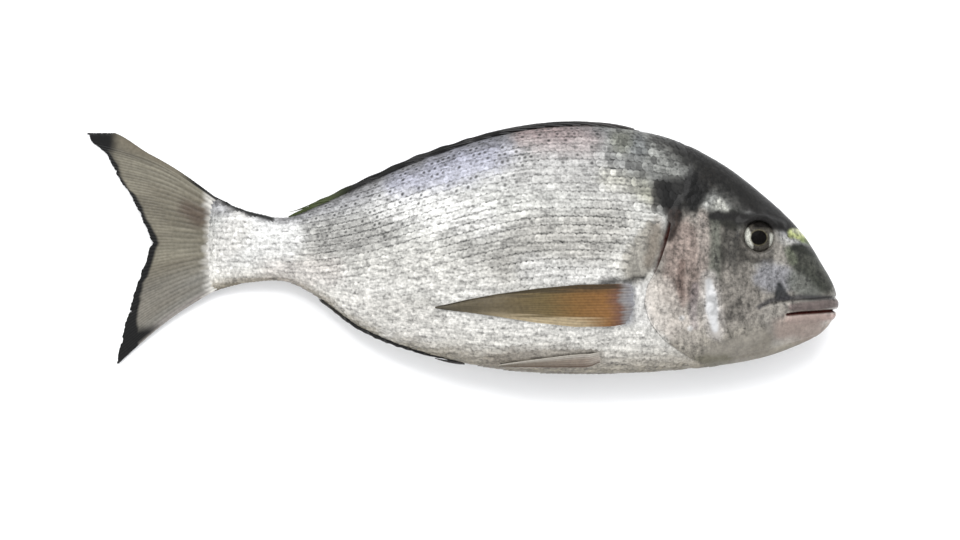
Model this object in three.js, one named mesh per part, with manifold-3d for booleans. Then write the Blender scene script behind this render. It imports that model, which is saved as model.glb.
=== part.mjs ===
// A whole sea bream (a gilt-head), lying on its left flank on a flat surface with its fins folded.
// Millimetres. +X points to the snout, +Y to the back, and +Z up, out of the right flank.
// The fish is shaped upright about the plane z = 0, with its axis on y = 0, and is then laid down.
import * as THREE from "three";
import { mergeVertices } from "three/addons/utils/BufferGeometryUtils.js";
import Module from "manifold-3d";

// Overall sizes
const TRUNK_LENGTH = 264; // snout to the root of the tail fin
const TAIL_LENGTH = 56; // root of the tail fin to the tip of its longer lobe
const TRUNK_DEPTH = 106; // back to belly at the deepest place, without the fins
const TRUNK_WIDTH = 43; // flank to flank at the widest place

// How the soft body lies
const FLANK_PRESS = 1.6; // how far the lower flank is pressed flat by its own weight
const DROOP_START = 0.54; // where the tail begins to sink, as a share of the trunk from the snout
const TIP_CLEARANCE = 0.3; // tail tips above the surface
const PIECE_GAP = 0.3; // between pieces that touch

// Places along the fish are shares of the trunk's length from the snout, and levels are shares of the
// way from the widest line of the flank up to the back, or down to the belly.

// Eyes
const EYE_DIAMETER = 13.4;
const EYE_THICKNESS = 9;
const EYE_BULGE = 1.3; // how far an eye stands out of the head
const EYE_PLACE = 0.125;
const EYE_LEVEL = 0.42;

// Tail fin
const TAIL_SPREAD = 98.5; // tip to tip
const LOWER_LOBE_SHORT = 13.7; // how far the lower tip stops short of the upper one
const FORK_DEPTH = 28.6; // fork ahead of the upper tip
const FORK_LEVEL = 2.5;
const UPPER_MARGIN_HOLLOW = 3.5; // the rear edge of each lobe is slightly curved
const LOWER_MARGIN_HOLLOW = -1.8;
const UPPER_RAY_BOW = 4.5;
const LOWER_RAY_BOW = 2.4;
const TAIL_ROOT_THICKNESS = 3.6;
const TAIL_EDGE_THICKNESS = 0.8;

// Folded fins on the back and under the tail
const DORSAL_FRONT = 0.318;
const DORSAL_END = 0.883;
const DORSAL_HEIGHT = 3;
const DORSAL_THICKNESS = 2.6;
const ANAL_FRONT = 0.591;
const ANAL_END = 0.83;
const ANAL_HEIGHT = 2.5;
const ANAL_THICKNESS = 2.2;
const RIDGE_END_HEIGHT = 0.5; // a folded fin never thins to nothing

// Paired fins, folded back along the body
const PECTORAL_FRONT = 0.33;
const PECTORAL_ROOT_LEVEL = 0.38;
const PECTORAL_TIP_LEVEL = 0.55;
const PECTORAL_LENGTH = 83;
const PECTORAL_BREADTH = 15.6;
const PECTORAL_THICKNESS = 1;
const PELVIC_FRONT = 0.379;
const PELVIC_ROOT_LEVEL = 0.86;
const PELVIC_TIP_LEVEL = 0.93;
const PELVIC_LENGTH = 43;
const PELVIC_BREADTH = 6;
const PELVIC_THICKNESS = 1;
const FIN_TIP_BREADTH = 0.8;

// Facets
const TRUNK_RINGS = 48;
const TRUNK_SIDES = 36;
const EYE_SIDES = 18;
const EYE_RINGS = 10;
const FOLDED_FIN_STEPS = 14;
const RIDGE_STEPS = 30;
const TAIL_STEPS = 8;
const TAIL_RAYS = 20;

const SNOUT_X = (TRUNK_LENGTH + TAIL_LENGTH) / 2;
const TAIL_ROOT_X = SNOUT_X - TRUNK_LENGTH;
const TAIL_TIP_X = TAIL_ROOT_X - TAIL_LENGTH;
const REST_HEIGHT = TRUNK_WIDTH / 2 - FLANK_PRESS;
const TAIL_DROOP = REST_HEIGHT - TAIL_EDGE_THICKNESS / 2 - TIP_CLEARANCE;
const PRESSED_FACE = 0; // height of the surface

// The trunk's sections from the snout to the root of the tail. Each row holds how far back it is as a
// share of the trunk's length, then the back and the belly as shares of the depth, the half width as a
// share of half the width, and the level of the widest line as a share of the depth.
const SECTIONS = [
  [0, -0.207, -0.207, 0, -0.207],
  [0.0193, -0.084, -0.324, 0.283, -0.17],
  [0.0595, 0.071, -0.383, 0.478, -0.113],
  [0.1238, 0.224, -0.439, 0.674, -0.075],
  [0.188, 0.343, -0.468, 0.804, -0.056],
  [0.2846, 0.455, -0.495, 0.948, -0.047],
  [0.4132, 0.495, -0.505, 1, -0.038],
  [0.5418, 0.457, -0.487, 0.935, -0.019],
  [0.6704, 0.357, -0.414, 0.739, 0],
  [0.767, 0.252, -0.317, 0.543, 0],
  [0.831, 0.179, -0.205, 0.413, 0],
  [0.889, 0.128, -0.135, 0.304, 0],
  [0.96, 0.163, -0.145, 0.2, 0],
  [1, 0.21, -0.172, 0.14, 0],
];
const BACK_ROUNDNESS = 1.75; // superellipse powers: the back is a ridge, and the belly is fuller
const BELLY_ROUNDNESS = 2.2;

const { clamp, lerp, smoothstep } = THREE.MathUtils;
const manifold = await Module();
manifold.setup();

// Square roots of the shares make the snout blunt: the outline meets the axis at a right angle.
const sectionCurve = new THREE.CubicInterpolant(
  new Float32Array(SECTIONS.map((row) => Math.sqrt(row[0]))),
  new Float32Array(SECTIONS.flatMap((row) => row.slice(1))),
  4,
  new Float32Array(4),
);

// The x of a place that is a share of the trunk's length from the snout.
function xAt(share) {
  return SNOUT_X - TRUNK_LENGTH * share;
}

function sectionAt(x) {
  const share = clamp((SNOUT_X - x) / TRUNK_LENGTH, 0, 1);
  const [back, belly, half, widest] = sectionCurve.evaluate(Math.sqrt(share));
  return {
    back: back * TRUNK_DEPTH,
    belly: belly * TRUNK_DEPTH,
    half: Math.max(half, 0) * (TRUNK_WIDTH / 2),
    widest: widest * TRUNK_DEPTH,
  };
}

// A point of the upright skin. lean is the angle round the section: 0 is the right flank's widest line,
// a quarter turn the back, a half turn the left flank and three quarters the belly.
function skinPoint(x, lean) {
  const { back, belly, half, widest } = sectionAt(x);
  const rise = Math.sin(lean);
  const power = 2 / (rise > 0 ? BACK_ROUNDNESS : BELLY_ROUNDNESS);
  const share = Math.abs(rise) ** power;
  const y = rise > 0 ? lerp(widest, back, share) : lerp(widest, belly, share);
  return new THREE.Vector3(x, y, half * Math.cos(lean));
}

function skinNormal(x, lean) {
  const step = 0.01;
  const along = skinPoint(x + step, lean).sub(skinPoint(x - step, lean));
  const round = skinPoint(x, lean + step).sub(skinPoint(x, lean - step));
  return round.cross(along).negate().normalize();
}

// The lean, on the right flank, of a point that is level of the way from the widest line to the back,
// or to the belly if level is negative.
function leanAtLevel(level) {
  const power = (level > 0 ? BACK_ROUNDNESS : BELLY_ROUNDNESS) / 2;
  return Math.sign(level) * Math.asin(Math.abs(level) ** power);
}

// How high the fish's middle plane lies: level under the trunk, and sinking under the tail.
function restHeight(x) {
  return REST_HEIGHT - TAIL_DROOP * (1 - smoothstep(x, TAIL_TIP_X, xAt(DROOP_START)));
}

function laid(point) {
  return point.setZ(point.z + restHeight(point.x));
}

// Moves each vertex of a three.js geometry to where place puts it, and merges the shared vertices.
function mould(geometry, place) {
  const bare = new THREE.BufferGeometry().setIndex(geometry.index);
  const source = geometry.attributes.position;
  const moved = new Float32Array(source.count * 3);
  for (let i = 0; i < source.count; i++) {
    place(new THREE.Vector3().fromBufferAttribute(source, i)).toArray(moved, i * 3);
  }
  bare.setAttribute("position", new THREE.BufferAttribute(moved, 3));
  return mergeVertices(bare, 1e-4);
}

function solidOf(geometry) {
  const triVerts = new Uint32Array(geometry.index.array);
  const vertProperties = new Float32Array(geometry.attributes.position.array);
  return new manifold.Manifold(new manifold.Mesh({ numProp: 3, vertProperties, triVerts }));
}

function geometryOf(solid) {
  const { vertProperties, triVerts } = solid.getMesh();
  const geometry = new THREE.BufferGeometry();
  geometry.setAttribute("position", new THREE.BufferAttribute(vertProperties, 3));
  geometry.setIndex(new THREE.BufferAttribute(triVerts, 1));
  return geometry;
}

// The trunk with the head: a sphere whose poles are the snout and the middle of the tail's root, and
// whose lowest skin is pressed flat.
function trunkGeometry() {
  return mould(new THREE.SphereGeometry(1, TRUNK_SIDES, TRUNK_RINGS), (unit) => {
    const turn = Math.acos(clamp(unit.y, -1, 1)) / Math.PI;
    const lastRing = 1 - 1 / TRUNK_RINGS;
    const capped = turn > lastRing + 1e-6;
    const share = clamp(turn / lastRing, 0, 1);
    const closeAtSnout = (1 - Math.cos((share * Math.PI) / 2)) ** 0.9; // rings crowd at the snout
    const point = skinPoint(xAt(closeAtSnout), Math.atan2(unit.x, -unit.z));
    if (capped) point.set(TAIL_ROOT_X, sectionAt(TAIL_ROOT_X).widest, 0);
    laid(point);
    return point.setZ(Math.max(point.z, PRESSED_FACE));
  });
}

// A thin plate between two faces. pointAt takes the share along, the share across and the face, which
// is 0 on the inner face and 1 on the outer one.
function plateGeometry(stepsAlong, stepsAcross, pointAt) {
  const box = new THREE.BoxGeometry(1, 1, 1, stepsAlong, stepsAcross, 1);
  return mould(box, (unit) => pointAt(unit.x + 0.5, unit.y + 0.5, unit.z > 0 ? 1 : 0));
}

function eyeGeometry(side, clearance) {
  const x = xAt(EYE_PLACE);
  const lean = side > 0 ? leanAtLevel(EYE_LEVEL) : Math.PI - leanAtLevel(EYE_LEVEL);
  const normal = skinNormal(x, lean);
  const centre = skinPoint(x, lean).addScaledVector(normal, EYE_BULGE - EYE_THICKNESS / 2);
  const turn = new THREE.Quaternion().setFromUnitVectors(new THREE.Vector3(0, 1, 0), normal);
  const radius = EYE_DIAMETER / 2 + clearance;
  const halfThickness = EYE_THICKNESS / 2 + clearance;
  return mould(new THREE.SphereGeometry(1, EYE_SIDES, EYE_RINGS), (unit) => {
    unit.multiply(new THREE.Vector3(radius, halfThickness, radius));
    return laid(unit.applyQuaternion(turn).add(centre));
  });
}

// A fin folded against the flank: it follows the skin a gap away. Its faces never sink through the
// surface, so that a fin under the fish is pressed into the flank instead. side is 1 for the right,
// and grow is the clearance all round when the plate is a hollow for the fin.
function foldedFinGeometry(side, fin, grow = 0) {
  return plateGeometry(FOLDED_FIN_STEPS, 4, (along, across, face) => {
    const back = 1 - along; // the plate runs from the fin's tip forwards to its root
    const x = xAt(fin.front) + grow - back * (fin.length + 2 * grow);
    const breadth = lerp(fin.breadth, FIN_TIP_BREADTH, back ** 2) + 2 * grow;
    const { widest, belly } = sectionAt(x);
    const y = lerp(widest, belly, fin.level(back)) + (across - 0.5) * breadth;
    const lean = leanAtLevel(clamp((y - widest) / (widest - belly), -0.999, 0.999));
    const turned = side > 0 ? lean : Math.PI - lean;
    const outward = side > 0 ? face : 1 - face;
    const offset = lerp(PIECE_GAP - grow, PIECE_GAP + fin.thickness + grow, outward);
    const point = laid(skinPoint(x, turned).addScaledVector(skinNormal(x, turned), offset));
    const lowest = PRESSED_FACE + lerp(fin.thickness + grow, -grow, outward);
    return point.setZ(Math.max(point.z, lowest));
  });
}

const PECTORAL = {
  front: PECTORAL_FRONT,
  length: PECTORAL_LENGTH,
  breadth: PECTORAL_BREADTH,
  thickness: PECTORAL_THICKNESS,
  level: (back) => lerp(PECTORAL_ROOT_LEVEL, PECTORAL_TIP_LEVEL, back ** 2),
};
const PELVIC = {
  front: PELVIC_FRONT,
  length: PELVIC_LENGTH,
  breadth: PELVIC_BREADTH,
  thickness: PELVIC_THICKNESS,
  level: (back) => lerp(PELVIC_ROOT_LEVEL, PELVIC_TIP_LEVEL, back),
};

// A fin folded down on the back or under the tail, as a low ridge. up is 1 on the back.
function ridgeGeometry(up, front, end, height, thickness) {
  return plateGeometry(RIDGE_STEPS, 2, (along, across, face) => {
    const x = xAt(lerp(end, front, along));
    const { back, belly } = sectionAt(x);
    const base = up > 0 ? back + PIECE_GAP : belly - PIECE_GAP;
    const swell = Math.sin(Math.PI * along ** 0.6); // highest a third of the way from the rear end
    const top = Math.max(height * swell, RIDGE_END_HEIGHT);
    const fromBase = up > 0 ? across : 1 - across;
    const half = (thickness / 2) * (1 - 0.45 * fromBase) * (0.4 + 0.6 * swell);
    return laid(new THREE.Vector3(x, base + up * fromBase * top, lerp(-half, half, face)));
  });
}

// The forked tail. across runs from the lowest ray to the highest one.
function tailGeometry() {
  const upperTip = new THREE.Vector2(TAIL_TIP_X, TAIL_SPREAD / 2);
  const lowerTip = new THREE.Vector2(upperTip.x + LOWER_LOBE_SHORT, -TAIL_SPREAD / 2);
  const fork = new THREE.Vector2(upperTip.x + FORK_DEPTH, FORK_LEVEL);
  const rootX = TAIL_ROOT_X - PIECE_GAP;
  const root = sectionAt(rootX);
  const margin = (across) => {
    const upper = across > 0.5;
    const share = Math.abs(across - 0.5) * 2;
    const point = fork.clone().lerp(upper ? upperTip : lowerTip, share);
    point.x += Math.sin(Math.PI * share) * (upper ? UPPER_MARGIN_HOLLOW : LOWER_MARGIN_HOLLOW);
    return point;
  };
  return plateGeometry(TAIL_STEPS, TAIL_RAYS, (along, across, face) => {
    const back = 1 - along; // the plate runs from the margin forwards to the root
    const end = margin(across);
    const x = lerp(rootX, end.x, back);
    const bow = Math.sin(Math.PI * back) * (across > 0.5 ? UPPER_RAY_BOW : LOWER_RAY_BOW);
    const y = lerp(lerp(root.belly, root.back, across), end.y, back) + bow * Math.abs(2 * across - 1);
    const half = lerp(TAIL_ROOT_THICKNESS, TAIL_EDGE_THICKNESS, Math.sqrt(back)) / 2;
    return laid(new THREE.Vector3(x, y, lerp(-half, half, face)));
  });
}

function trunkSolid() {
  const hollows = [
    eyeGeometry(1, PIECE_GAP),
    eyeGeometry(-1, PIECE_GAP),
    foldedFinGeometry(-1, PECTORAL, PIECE_GAP),
    foldedFinGeometry(-1, PELVIC, PIECE_GAP),
  ];
  return hollows.reduce(
    (trunk, hollow) => trunk.subtract(solidOf(hollow)),
    solidOf(trunkGeometry()),
  );
}

const SILVER_SKIN = { color: 0xc4c4c0, roughness: 0.35, metalness: 0.45 };
const EYE = { color: 0x15140f, roughness: 0.08, metalness: 0 };
const GREY_FIN = { color: 0x8c8a7c, roughness: 0.5, metalness: 0 };
const DARK_FIN = { color: 0x2f2f2b, roughness: 0.5, metalness: 0 };
const AMBER_FIN = { color: 0x8a6a30, roughness: 0.4, metalness: 0 };

const fish = new THREE.Group();

function addPiece(name, geometry, look) {
  geometry.computeVertexNormals();
  const piece = new THREE.Mesh(geometry, new THREE.MeshStandardMaterial(look));
  piece.name = name;
  fish.add(piece);
}

addPiece("body", geometryOf(trunkSolid()), SILVER_SKIN);
addPiece("right_eye", eyeGeometry(1, 0), EYE);
addPiece("left_eye", eyeGeometry(-1, 0), EYE);
addPiece("tail_fin", tailGeometry(), GREY_FIN);
addPiece(
  "dorsal_fin",
  ridgeGeometry(1, DORSAL_FRONT, DORSAL_END, DORSAL_HEIGHT, DORSAL_THICKNESS),
  DARK_FIN,
);
addPiece(
  "anal_fin",
  ridgeGeometry(-1, ANAL_FRONT, ANAL_END, ANAL_HEIGHT, ANAL_THICKNESS),
  DARK_FIN,
);
addPiece("right_pectoral_fin", foldedFinGeometry(1, PECTORAL), AMBER_FIN);
addPiece("left_pectoral_fin", foldedFinGeometry(-1, PECTORAL), AMBER_FIN);
addPiece("right_pelvic_fin", foldedFinGeometry(1, PELVIC), GREY_FIN);
addPiece("left_pelvic_fin", foldedFinGeometry(-1, PELVIC), GREY_FIN);

// The origin is on the surface, under the middle of the fish's box.
const box = new THREE.Box3().setFromObject(fish);
const middle = box.getCenter(new THREE.Vector3());
fish.position.set(-middle.x, -middle.y, -box.min.z);

export default fish;
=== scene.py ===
# %% [markdown]
# # A whole sea bream, lying on its side
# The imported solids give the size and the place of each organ: the body, the eyes and the seven fins.
# Here each of them gets its real surface. Design numbers are in millimetres, as a fishmonger would
# measure, and they are turned into metres only when a point is written into a mesh.

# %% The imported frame
import math

import bpy
import numpy as np
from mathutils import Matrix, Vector


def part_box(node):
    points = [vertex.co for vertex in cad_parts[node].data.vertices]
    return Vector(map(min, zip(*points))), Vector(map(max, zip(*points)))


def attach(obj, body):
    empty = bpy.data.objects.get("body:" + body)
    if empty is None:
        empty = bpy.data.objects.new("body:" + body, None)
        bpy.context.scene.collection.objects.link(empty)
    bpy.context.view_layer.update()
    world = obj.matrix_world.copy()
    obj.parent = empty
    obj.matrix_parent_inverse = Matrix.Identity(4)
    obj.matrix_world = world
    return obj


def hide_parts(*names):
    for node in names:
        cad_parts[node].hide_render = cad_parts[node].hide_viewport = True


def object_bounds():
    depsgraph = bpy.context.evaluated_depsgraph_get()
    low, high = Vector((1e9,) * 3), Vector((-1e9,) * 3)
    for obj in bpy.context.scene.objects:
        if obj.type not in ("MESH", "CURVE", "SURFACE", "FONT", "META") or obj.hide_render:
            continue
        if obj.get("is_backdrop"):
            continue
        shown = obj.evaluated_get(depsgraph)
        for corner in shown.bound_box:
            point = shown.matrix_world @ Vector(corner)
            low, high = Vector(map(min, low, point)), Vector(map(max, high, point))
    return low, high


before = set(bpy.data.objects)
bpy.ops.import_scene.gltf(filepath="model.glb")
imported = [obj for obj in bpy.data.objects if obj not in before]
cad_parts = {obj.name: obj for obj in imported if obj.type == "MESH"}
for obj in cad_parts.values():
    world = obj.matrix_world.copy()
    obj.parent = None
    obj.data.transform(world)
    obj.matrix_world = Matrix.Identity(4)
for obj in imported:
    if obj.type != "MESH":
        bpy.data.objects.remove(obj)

MM = 0.001
cad_bounds = [list(corner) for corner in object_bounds()]


def cad_box(node):
    """The lowest and the highest corner of a CAD node, in millimetres."""
    return [np.array(corner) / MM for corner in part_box(node)]


print("CAD box, mm:", [[round(v / MM, 1) for v in corner] for corner in cad_bounds])

# %% [markdown]
# ## The lines of the fish
# A fish is lofted like a boat's hull. Each section has a back, a belly, a half width and a level where
# it is widest, and between them it is a superellipse. The same lines shaped the CAD body, so a skin
# drawn from them fits it with no fitting. The CAD mesh itself could be copied and smoothed, but its
# facets are too coarse for skin. Everything that lies on the fish is placed by these lines.

# %% Sections from the snout to the root of the tail
body_low, body_high = cad_box("body")
SNOUT = body_high[0]
TRUNK_LENGTH = body_high[0] - body_low[0]
TRUNK_DEPTH = body_high[1] - body_low[1]
TRUNK_WIDTH = 43
FLANK_PRESS = TRUNK_WIDTH - body_high[2]  # how far the lower flank is pressed flat
MIDDLE = (body_low[1] + body_high[1]) / 2 + 0.005 * TRUNK_DEPTH  # the level that shares start from
SECTIONS = np.array([
    # share of the length, back, belly, half width, level of the widest line
    [0, -0.207, -0.207, 0, -0.207],
    [0.0193, -0.084, -0.324, 0.283, -0.17],
    [0.0595, 0.071, -0.383, 0.478, -0.113],
    [0.1238, 0.224, -0.439, 0.674, -0.075],
    [0.188, 0.343, -0.468, 0.804, -0.056],
    [0.2846, 0.455, -0.495, 0.948, -0.047],
    [0.4132, 0.495, -0.505, 1, -0.038],
    [0.5418, 0.457, -0.487, 0.935, -0.019],
    [0.6704, 0.357, -0.414, 0.739, 0],
    [0.767, 0.252, -0.317, 0.543, 0],
    [0.831, 0.179, -0.205, 0.413, 0],
    [0.889, 0.128, -0.135, 0.304, 0],
    [0.96, 0.163, -0.145, 0.2, 0],
    [1, 0.21, -0.172, 0.14, 0],
    [1.035, 0.236, -0.196, 0.07, 0],
])
BACK_ROUNDNESS, BELLY_ROUNDNESS = 1.75, 2.2
print("trunk, mm: length", round(TRUNK_LENGTH, 1), "depth", round(TRUNK_DEPTH, 1), "width", TRUNK_WIDTH)


def smooth(edge_0, edge_1, value):
    """0 below the first edge, 1 past the second, and a soft slope between them."""
    share = np.clip((value - edge_0) / (edge_1 - edge_0), 0, 1)
    return share * share * (3 - 2 * share)


def bell(value, middle, width):
    """1 at the middle, falling softly to both sides."""
    return np.exp(-(((value - middle) / width) ** 2))


def section_at(x):
    """Back, belly, half width and widest level at x, from a cubic through the rows."""
    place = np.sqrt(np.clip((SNOUT - x) / TRUNK_LENGTH, 0, SECTIONS[-1, 0]))
    knots = np.sqrt(SECTIONS[:, 0])
    rows = SECTIONS[:, 1:]
    slopes = np.empty_like(rows)
    slopes[1:-1] = (rows[2:] - rows[:-2]) / (knots[2:] - knots[:-2])[:, None]
    ends = (rows[1:] - rows[:-1]) / (knots[1:] - knots[:-1])[:, None]
    slopes[0] = 1.5 * ends[0] - 0.5 * slopes[1]
    slopes[-1] = 1.5 * ends[-1] - 0.5 * slopes[-2]
    i = np.clip(np.searchsorted(knots, place, side="right") - 1, 0, len(knots) - 2)
    gap = (knots[i + 1] - knots[i])[..., None]
    t = (place[..., None] - knots[i][..., None]) / gap
    start, end = rows[i], rows[i + 1]
    curve = (start * (2 * t**3 - 3 * t**2 + 1) + end * (3 * t**2 - 2 * t**3)
             + gap * (slopes[i] * (t**3 - 2 * t**2 + t) + slopes[i + 1] * (t**3 - t**2)))
    back, belly, half, widest = np.moveaxis(curve, -1, 0)
    level = TRUNK_DEPTH * np.array([back, belly, widest]) + MIDDLE
    return level[0], level[1], np.maximum(half, 0) * TRUNK_WIDTH / 2, level[2]


def skin(x, lean):
    """Points of the upright right flank. A lean of a quarter turn is the back, and minus that the belly."""
    x, lean = np.broadcast_arrays(np.asarray(x, float), np.asarray(lean, float))
    back, belly, half, widest = section_at(x)
    rise = np.sin(lean)
    upper = rise > 0
    share = np.abs(rise) ** np.where(upper, 2 / BACK_ROUNDNESS, 2 / BELLY_ROUNDNESS)
    y = widest + share * (np.where(upper, back, belly) - widest)
    return np.stack([x, y, half * np.cos(lean)], -1)


def skin_normal(x, lean):
    """The direction straight out of the skin."""
    along = skin(x + 0.05, lean) - skin(x - 0.05, lean)
    round_it = skin(x, lean + 0.004) - skin(x, lean - 0.004)
    normal = np.cross(along, round_it)
    return normal / np.maximum(np.linalg.norm(normal, axis=-1, keepdims=True), 1e-12)


# %% Even steps round each section
STATIONS = SNOUT - TRUNK_LENGTH * np.linspace(math.sqrt(SECTIONS[-1, 0]), 0.03, 260) ** 2
ROUND_STEPS = 240
leans = np.linspace(math.pi / 2, -math.pi / 2, 721)
girth_points = skin(STATIONS[:, None], leans[None, :])
walked = np.linalg.norm(np.diff(girth_points, axis=1), axis=-1).cumsum(axis=1)
walked = np.concatenate([np.zeros((len(STATIONS), 1)), walked], axis=1)
HALF_GIRTH = walked[:, -1]
EVEN_LEAN = np.array([
    np.interp(np.linspace(0, total, ROUND_STEPS + 1), row, leans)
    for row, total in zip(walked, HALF_GIRTH)
])
print("half girth at the deepest place, mm:", round(HALF_GIRTH.max(), 1))


def table_at(table, x, share):
    """A value between the table's stations and its even steps from the back, 0, to the belly, 1."""
    i = np.interp(x, STATIONS, np.arange(len(STATIONS)))
    j = np.clip(share, 0, 1) * ROUND_STEPS
    i0 = np.minimum(i.astype(int), len(STATIONS) - 2)
    j0 = np.minimum(j.astype(int), ROUND_STEPS - 1)
    i, j = i - i0, j - j0
    near = table[i0, j0] * (1 - j) + table[i0, j0 + 1] * j
    far = table[i0 + 1, j0] * (1 - j) + table[i0 + 1, j0 + 1] * j
    return near * (1 - i) + far * i


def lean_at(x, share):
    """The lean at a share of the way round from the back, 0, to the belly, 1."""
    return table_at(EVEN_LEAN, x, share)


# %% [markdown]
# ## How the fish lies
# It is drawn upright and then laid on its left flank. Flesh is soft, so the lower flank is pressed flat
# where it touches, and the tail sinks until its tips reach the surface. A cloth or soft body simulation
# could do this, but one formula does it the same way each time, for the skin, the fins and the scales.

# %% Laying the fish down
REST_HEIGHT = TRUNK_WIDTH / 2 - FLANK_PRESS
tail_low, tail_high = cad_box("tail_fin")
TAIL_TIP = tail_low[0]
DROOP_START = SNOUT - 0.54 * TRUNK_LENGTH
TAIL_DROOP = REST_HEIGHT - 0.7
PRESS_SOFTNESS = 0.5


def rest_height(x):
    """How high the fish's middle plane lies."""
    return REST_HEIGHT - TAIL_DROOP * (1 - smooth(TAIL_TIP, DROOP_START, x))


def laid(points, side=1):
    """Upright points, with z for the right flank, laid down. side is 1 for the right, -1 for the left."""
    x, y, z = np.moveaxis(points, -1, 0)
    height = z * side + rest_height(x)
    height = (height + np.sqrt(height**2 + PRESS_SOFTNESS**2)) / 2
    return np.stack([x, y, height], -1)


def widened(points, factor):
    """Upright points with their distance from the fish's middle plane multiplied. -1 is the left side."""
    ones = np.ones_like(factor)
    return points * np.stack([ones, ones, factor], -1)


print("the middle plane lies at, mm:", round(REST_HEIGHT, 1))
print("and at the tail's tips:", round(REST_HEIGHT - TAIL_DROOP, 1))


# %% [markdown]
# ## Mesh helpers
# A fish has no flat faces to extrude or bevel, and a sculpt by hand can't be run again. So every piece
# starts as a primitive: a grid rolled up into a ball where the piece is closed and round, and a plain
# grid where it is a thin sheet. Its vertices are then pushed into place, as a sculptor would, and a
# modifier gives the sheets their thickness.

# %% Moving a piece's points
def points_of(piece):
    points = np.empty(len(piece.data.vertices) * 3, np.float32)
    piece.data.vertices.foreach_get("co", points)
    return points.reshape(-1, 3).astype(float)


def move_to(piece, points_mm):
    piece.data.vertices.foreach_set("co", (points_mm * MM).astype(np.float32).ravel())
    piece.data.update()


def vertex_normals(piece):
    normals = np.empty(len(piece.data.vertices) * 3, np.float32)
    piece.data.vertex_normals.foreach_get("vector", normals)
    return normals.reshape(-1, 3).astype(float)


# %% Primitives
def named(name):
    piece = bpy.context.active_object
    piece.name = piece.data.name = name
    return piece


def new_ball(name, segments, rings):
    """A sphere rolled up from a grid, and for each vertex its turn round the axis and its ring."""
    bpy.ops.object.select_all(action="DESELECT")
    bpy.ops.mesh.primitive_grid_add(x_subdivisions=segments, y_subdivisions=rings, size=1)
    piece = named(name)
    turn, polar = (points_of(piece).T[:2] + 0.5) * [[2 * math.pi], [math.pi]]
    ball = [np.sin(polar) * np.cos(turn), np.sin(polar) * np.sin(turn), np.cos(polar)]
    move_to(piece, np.stack(ball, -1) / MM)
    bpy.ops.object.mode_set(mode="EDIT")
    bpy.ops.mesh.select_all(action="SELECT")
    bpy.ops.mesh.remove_doubles(threshold=0.00001)
    bpy.ops.mesh.normals_make_consistent(inside=False)
    bpy.ops.object.mode_set(mode="OBJECT")
    x, y, z = points_of(piece).T
    ring = np.round(np.arccos(np.clip(z, -1, 1)) / math.pi * rings)
    turn = np.round(np.arctan2(y, x) / (2 * math.pi) * segments) % segments / segments
    return piece, turn, ring


def new_sheet(name, steps_along, steps_across):
    """A flat grid, and for each vertex its share along and its share across."""
    bpy.ops.object.select_all(action="DESELECT")
    bpy.ops.mesh.primitive_grid_add(x_subdivisions=steps_along, y_subdivisions=steps_across, size=1)
    piece = named(name)
    along, across, _ = (points_of(piece) + 0.5).T
    return piece, along, across


def into_scene(name, data):
    """A new object in the scene that shows the data."""
    holder = bpy.data.objects.new(name, data)
    bpy.context.scene.collection.objects.link(holder)
    return holder


# %% Closing up and finishing a piece
SMOOTH_SHEET, SMOOTH_SCALE, SMOOTH_SKIN = (math.radians(angle) for angle in (50, 60, 80))
LOWEST_POINT = 0.02  # nothing sinks into what the fish lies on


def select_only(*pieces):
    bpy.ops.object.select_all(action="DESELECT")
    for piece in pieces:
        piece.select_set(True)
    bpy.context.view_layer.objects.active = pieces[0]


def shade_smooth(piece, angle=SMOOTH_SHEET):
    select_only(piece)
    bpy.ops.object.shade_smooth_by_angle(angle=angle)


def thicken(piece, thickness_mm):
    """Gives a sheet its two faces and a rim, half of the thickness to each side."""
    wall = piece.modifiers.new("Thickness", "SOLIDIFY")
    wall.thickness = thickness_mm * MM
    wall.offset = 0
    select_only(piece)
    bpy.ops.object.modifier_apply(modifier=wall.name)


def joined(pieces, name):
    select_only(*pieces)
    bpy.ops.object.join()
    return named(name)


def finish_piece(piece, slot, material, *nodes):
    """Gives the piece its material and its body, and hides the CAD nodes that it stands for. The slot is not
    used.
    """
    points = points_of(piece) / MM
    points[:, 2] = np.maximum(points[:, 2], LOWEST_POINT)
    move_to(piece, points)
    piece.data.materials.clear()
    piece.data.materials.append(material)
    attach(piece, "root")
    if nodes:
        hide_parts(*nodes)
    triangles = sum(len(face.vertices) - 2 for face in piece.data.polygons)
    print(f"{piece.name}: {triangles} triangles")


# %% [markdown]
# ## Strokes
# A groove, a ridge or a patch of colour on a fish runs along a line with a width. One kind of stroke
# does for both: a chain of points seen from the side, each with a radius. In relief it dents or lifts
# the skin, and in paint it tints it. An image painted by hand would need a file, and a stroke needs only
# its points. Both sides of the fish share the same strokes.

# %% Where a stroke reaches
def stroke(x, y, softness, chain):
    """1 inside a chain of (x, y, radius) points, fading to 0 over the softness outside it."""
    mask = np.zeros(np.shape(x))
    reach = np.max(chain, axis=0)[2] + softness
    low, high = np.min(chain, axis=0) - reach, np.max(chain, axis=0) + reach
    near = (x > low[0]) & (x < high[0]) & (y > low[1]) & (y < high[1])
    x, y = x[near], y[near]
    nearest = np.full(len(x), 1e9)
    links = list(zip(chain, chain[1:])) or [(chain[0], chain[0])]
    for (x0, y0, r0), (x1, y1, r1) in links:
        dx, dy = x1 - x0, y1 - y0
        t = np.clip(((x - x0) * dx + (y - y0) * dy) / max(dx * dx + dy * dy, 1e-9), 0, 1)
        away = np.hypot(x - x0 - t * dx, y - y0 - t * dy) - (r0 + t * (r1 - r0))
        nearest = np.minimum(nearest, away)
    mask[near] = 1 - smooth(0, softness, nearest)
    return mask


# %% Soft random patches
LATTICE = np.random.default_rng(7).random((64, 64))
print("random lattice: mean", round(LATTICE.mean(), 3))


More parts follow.
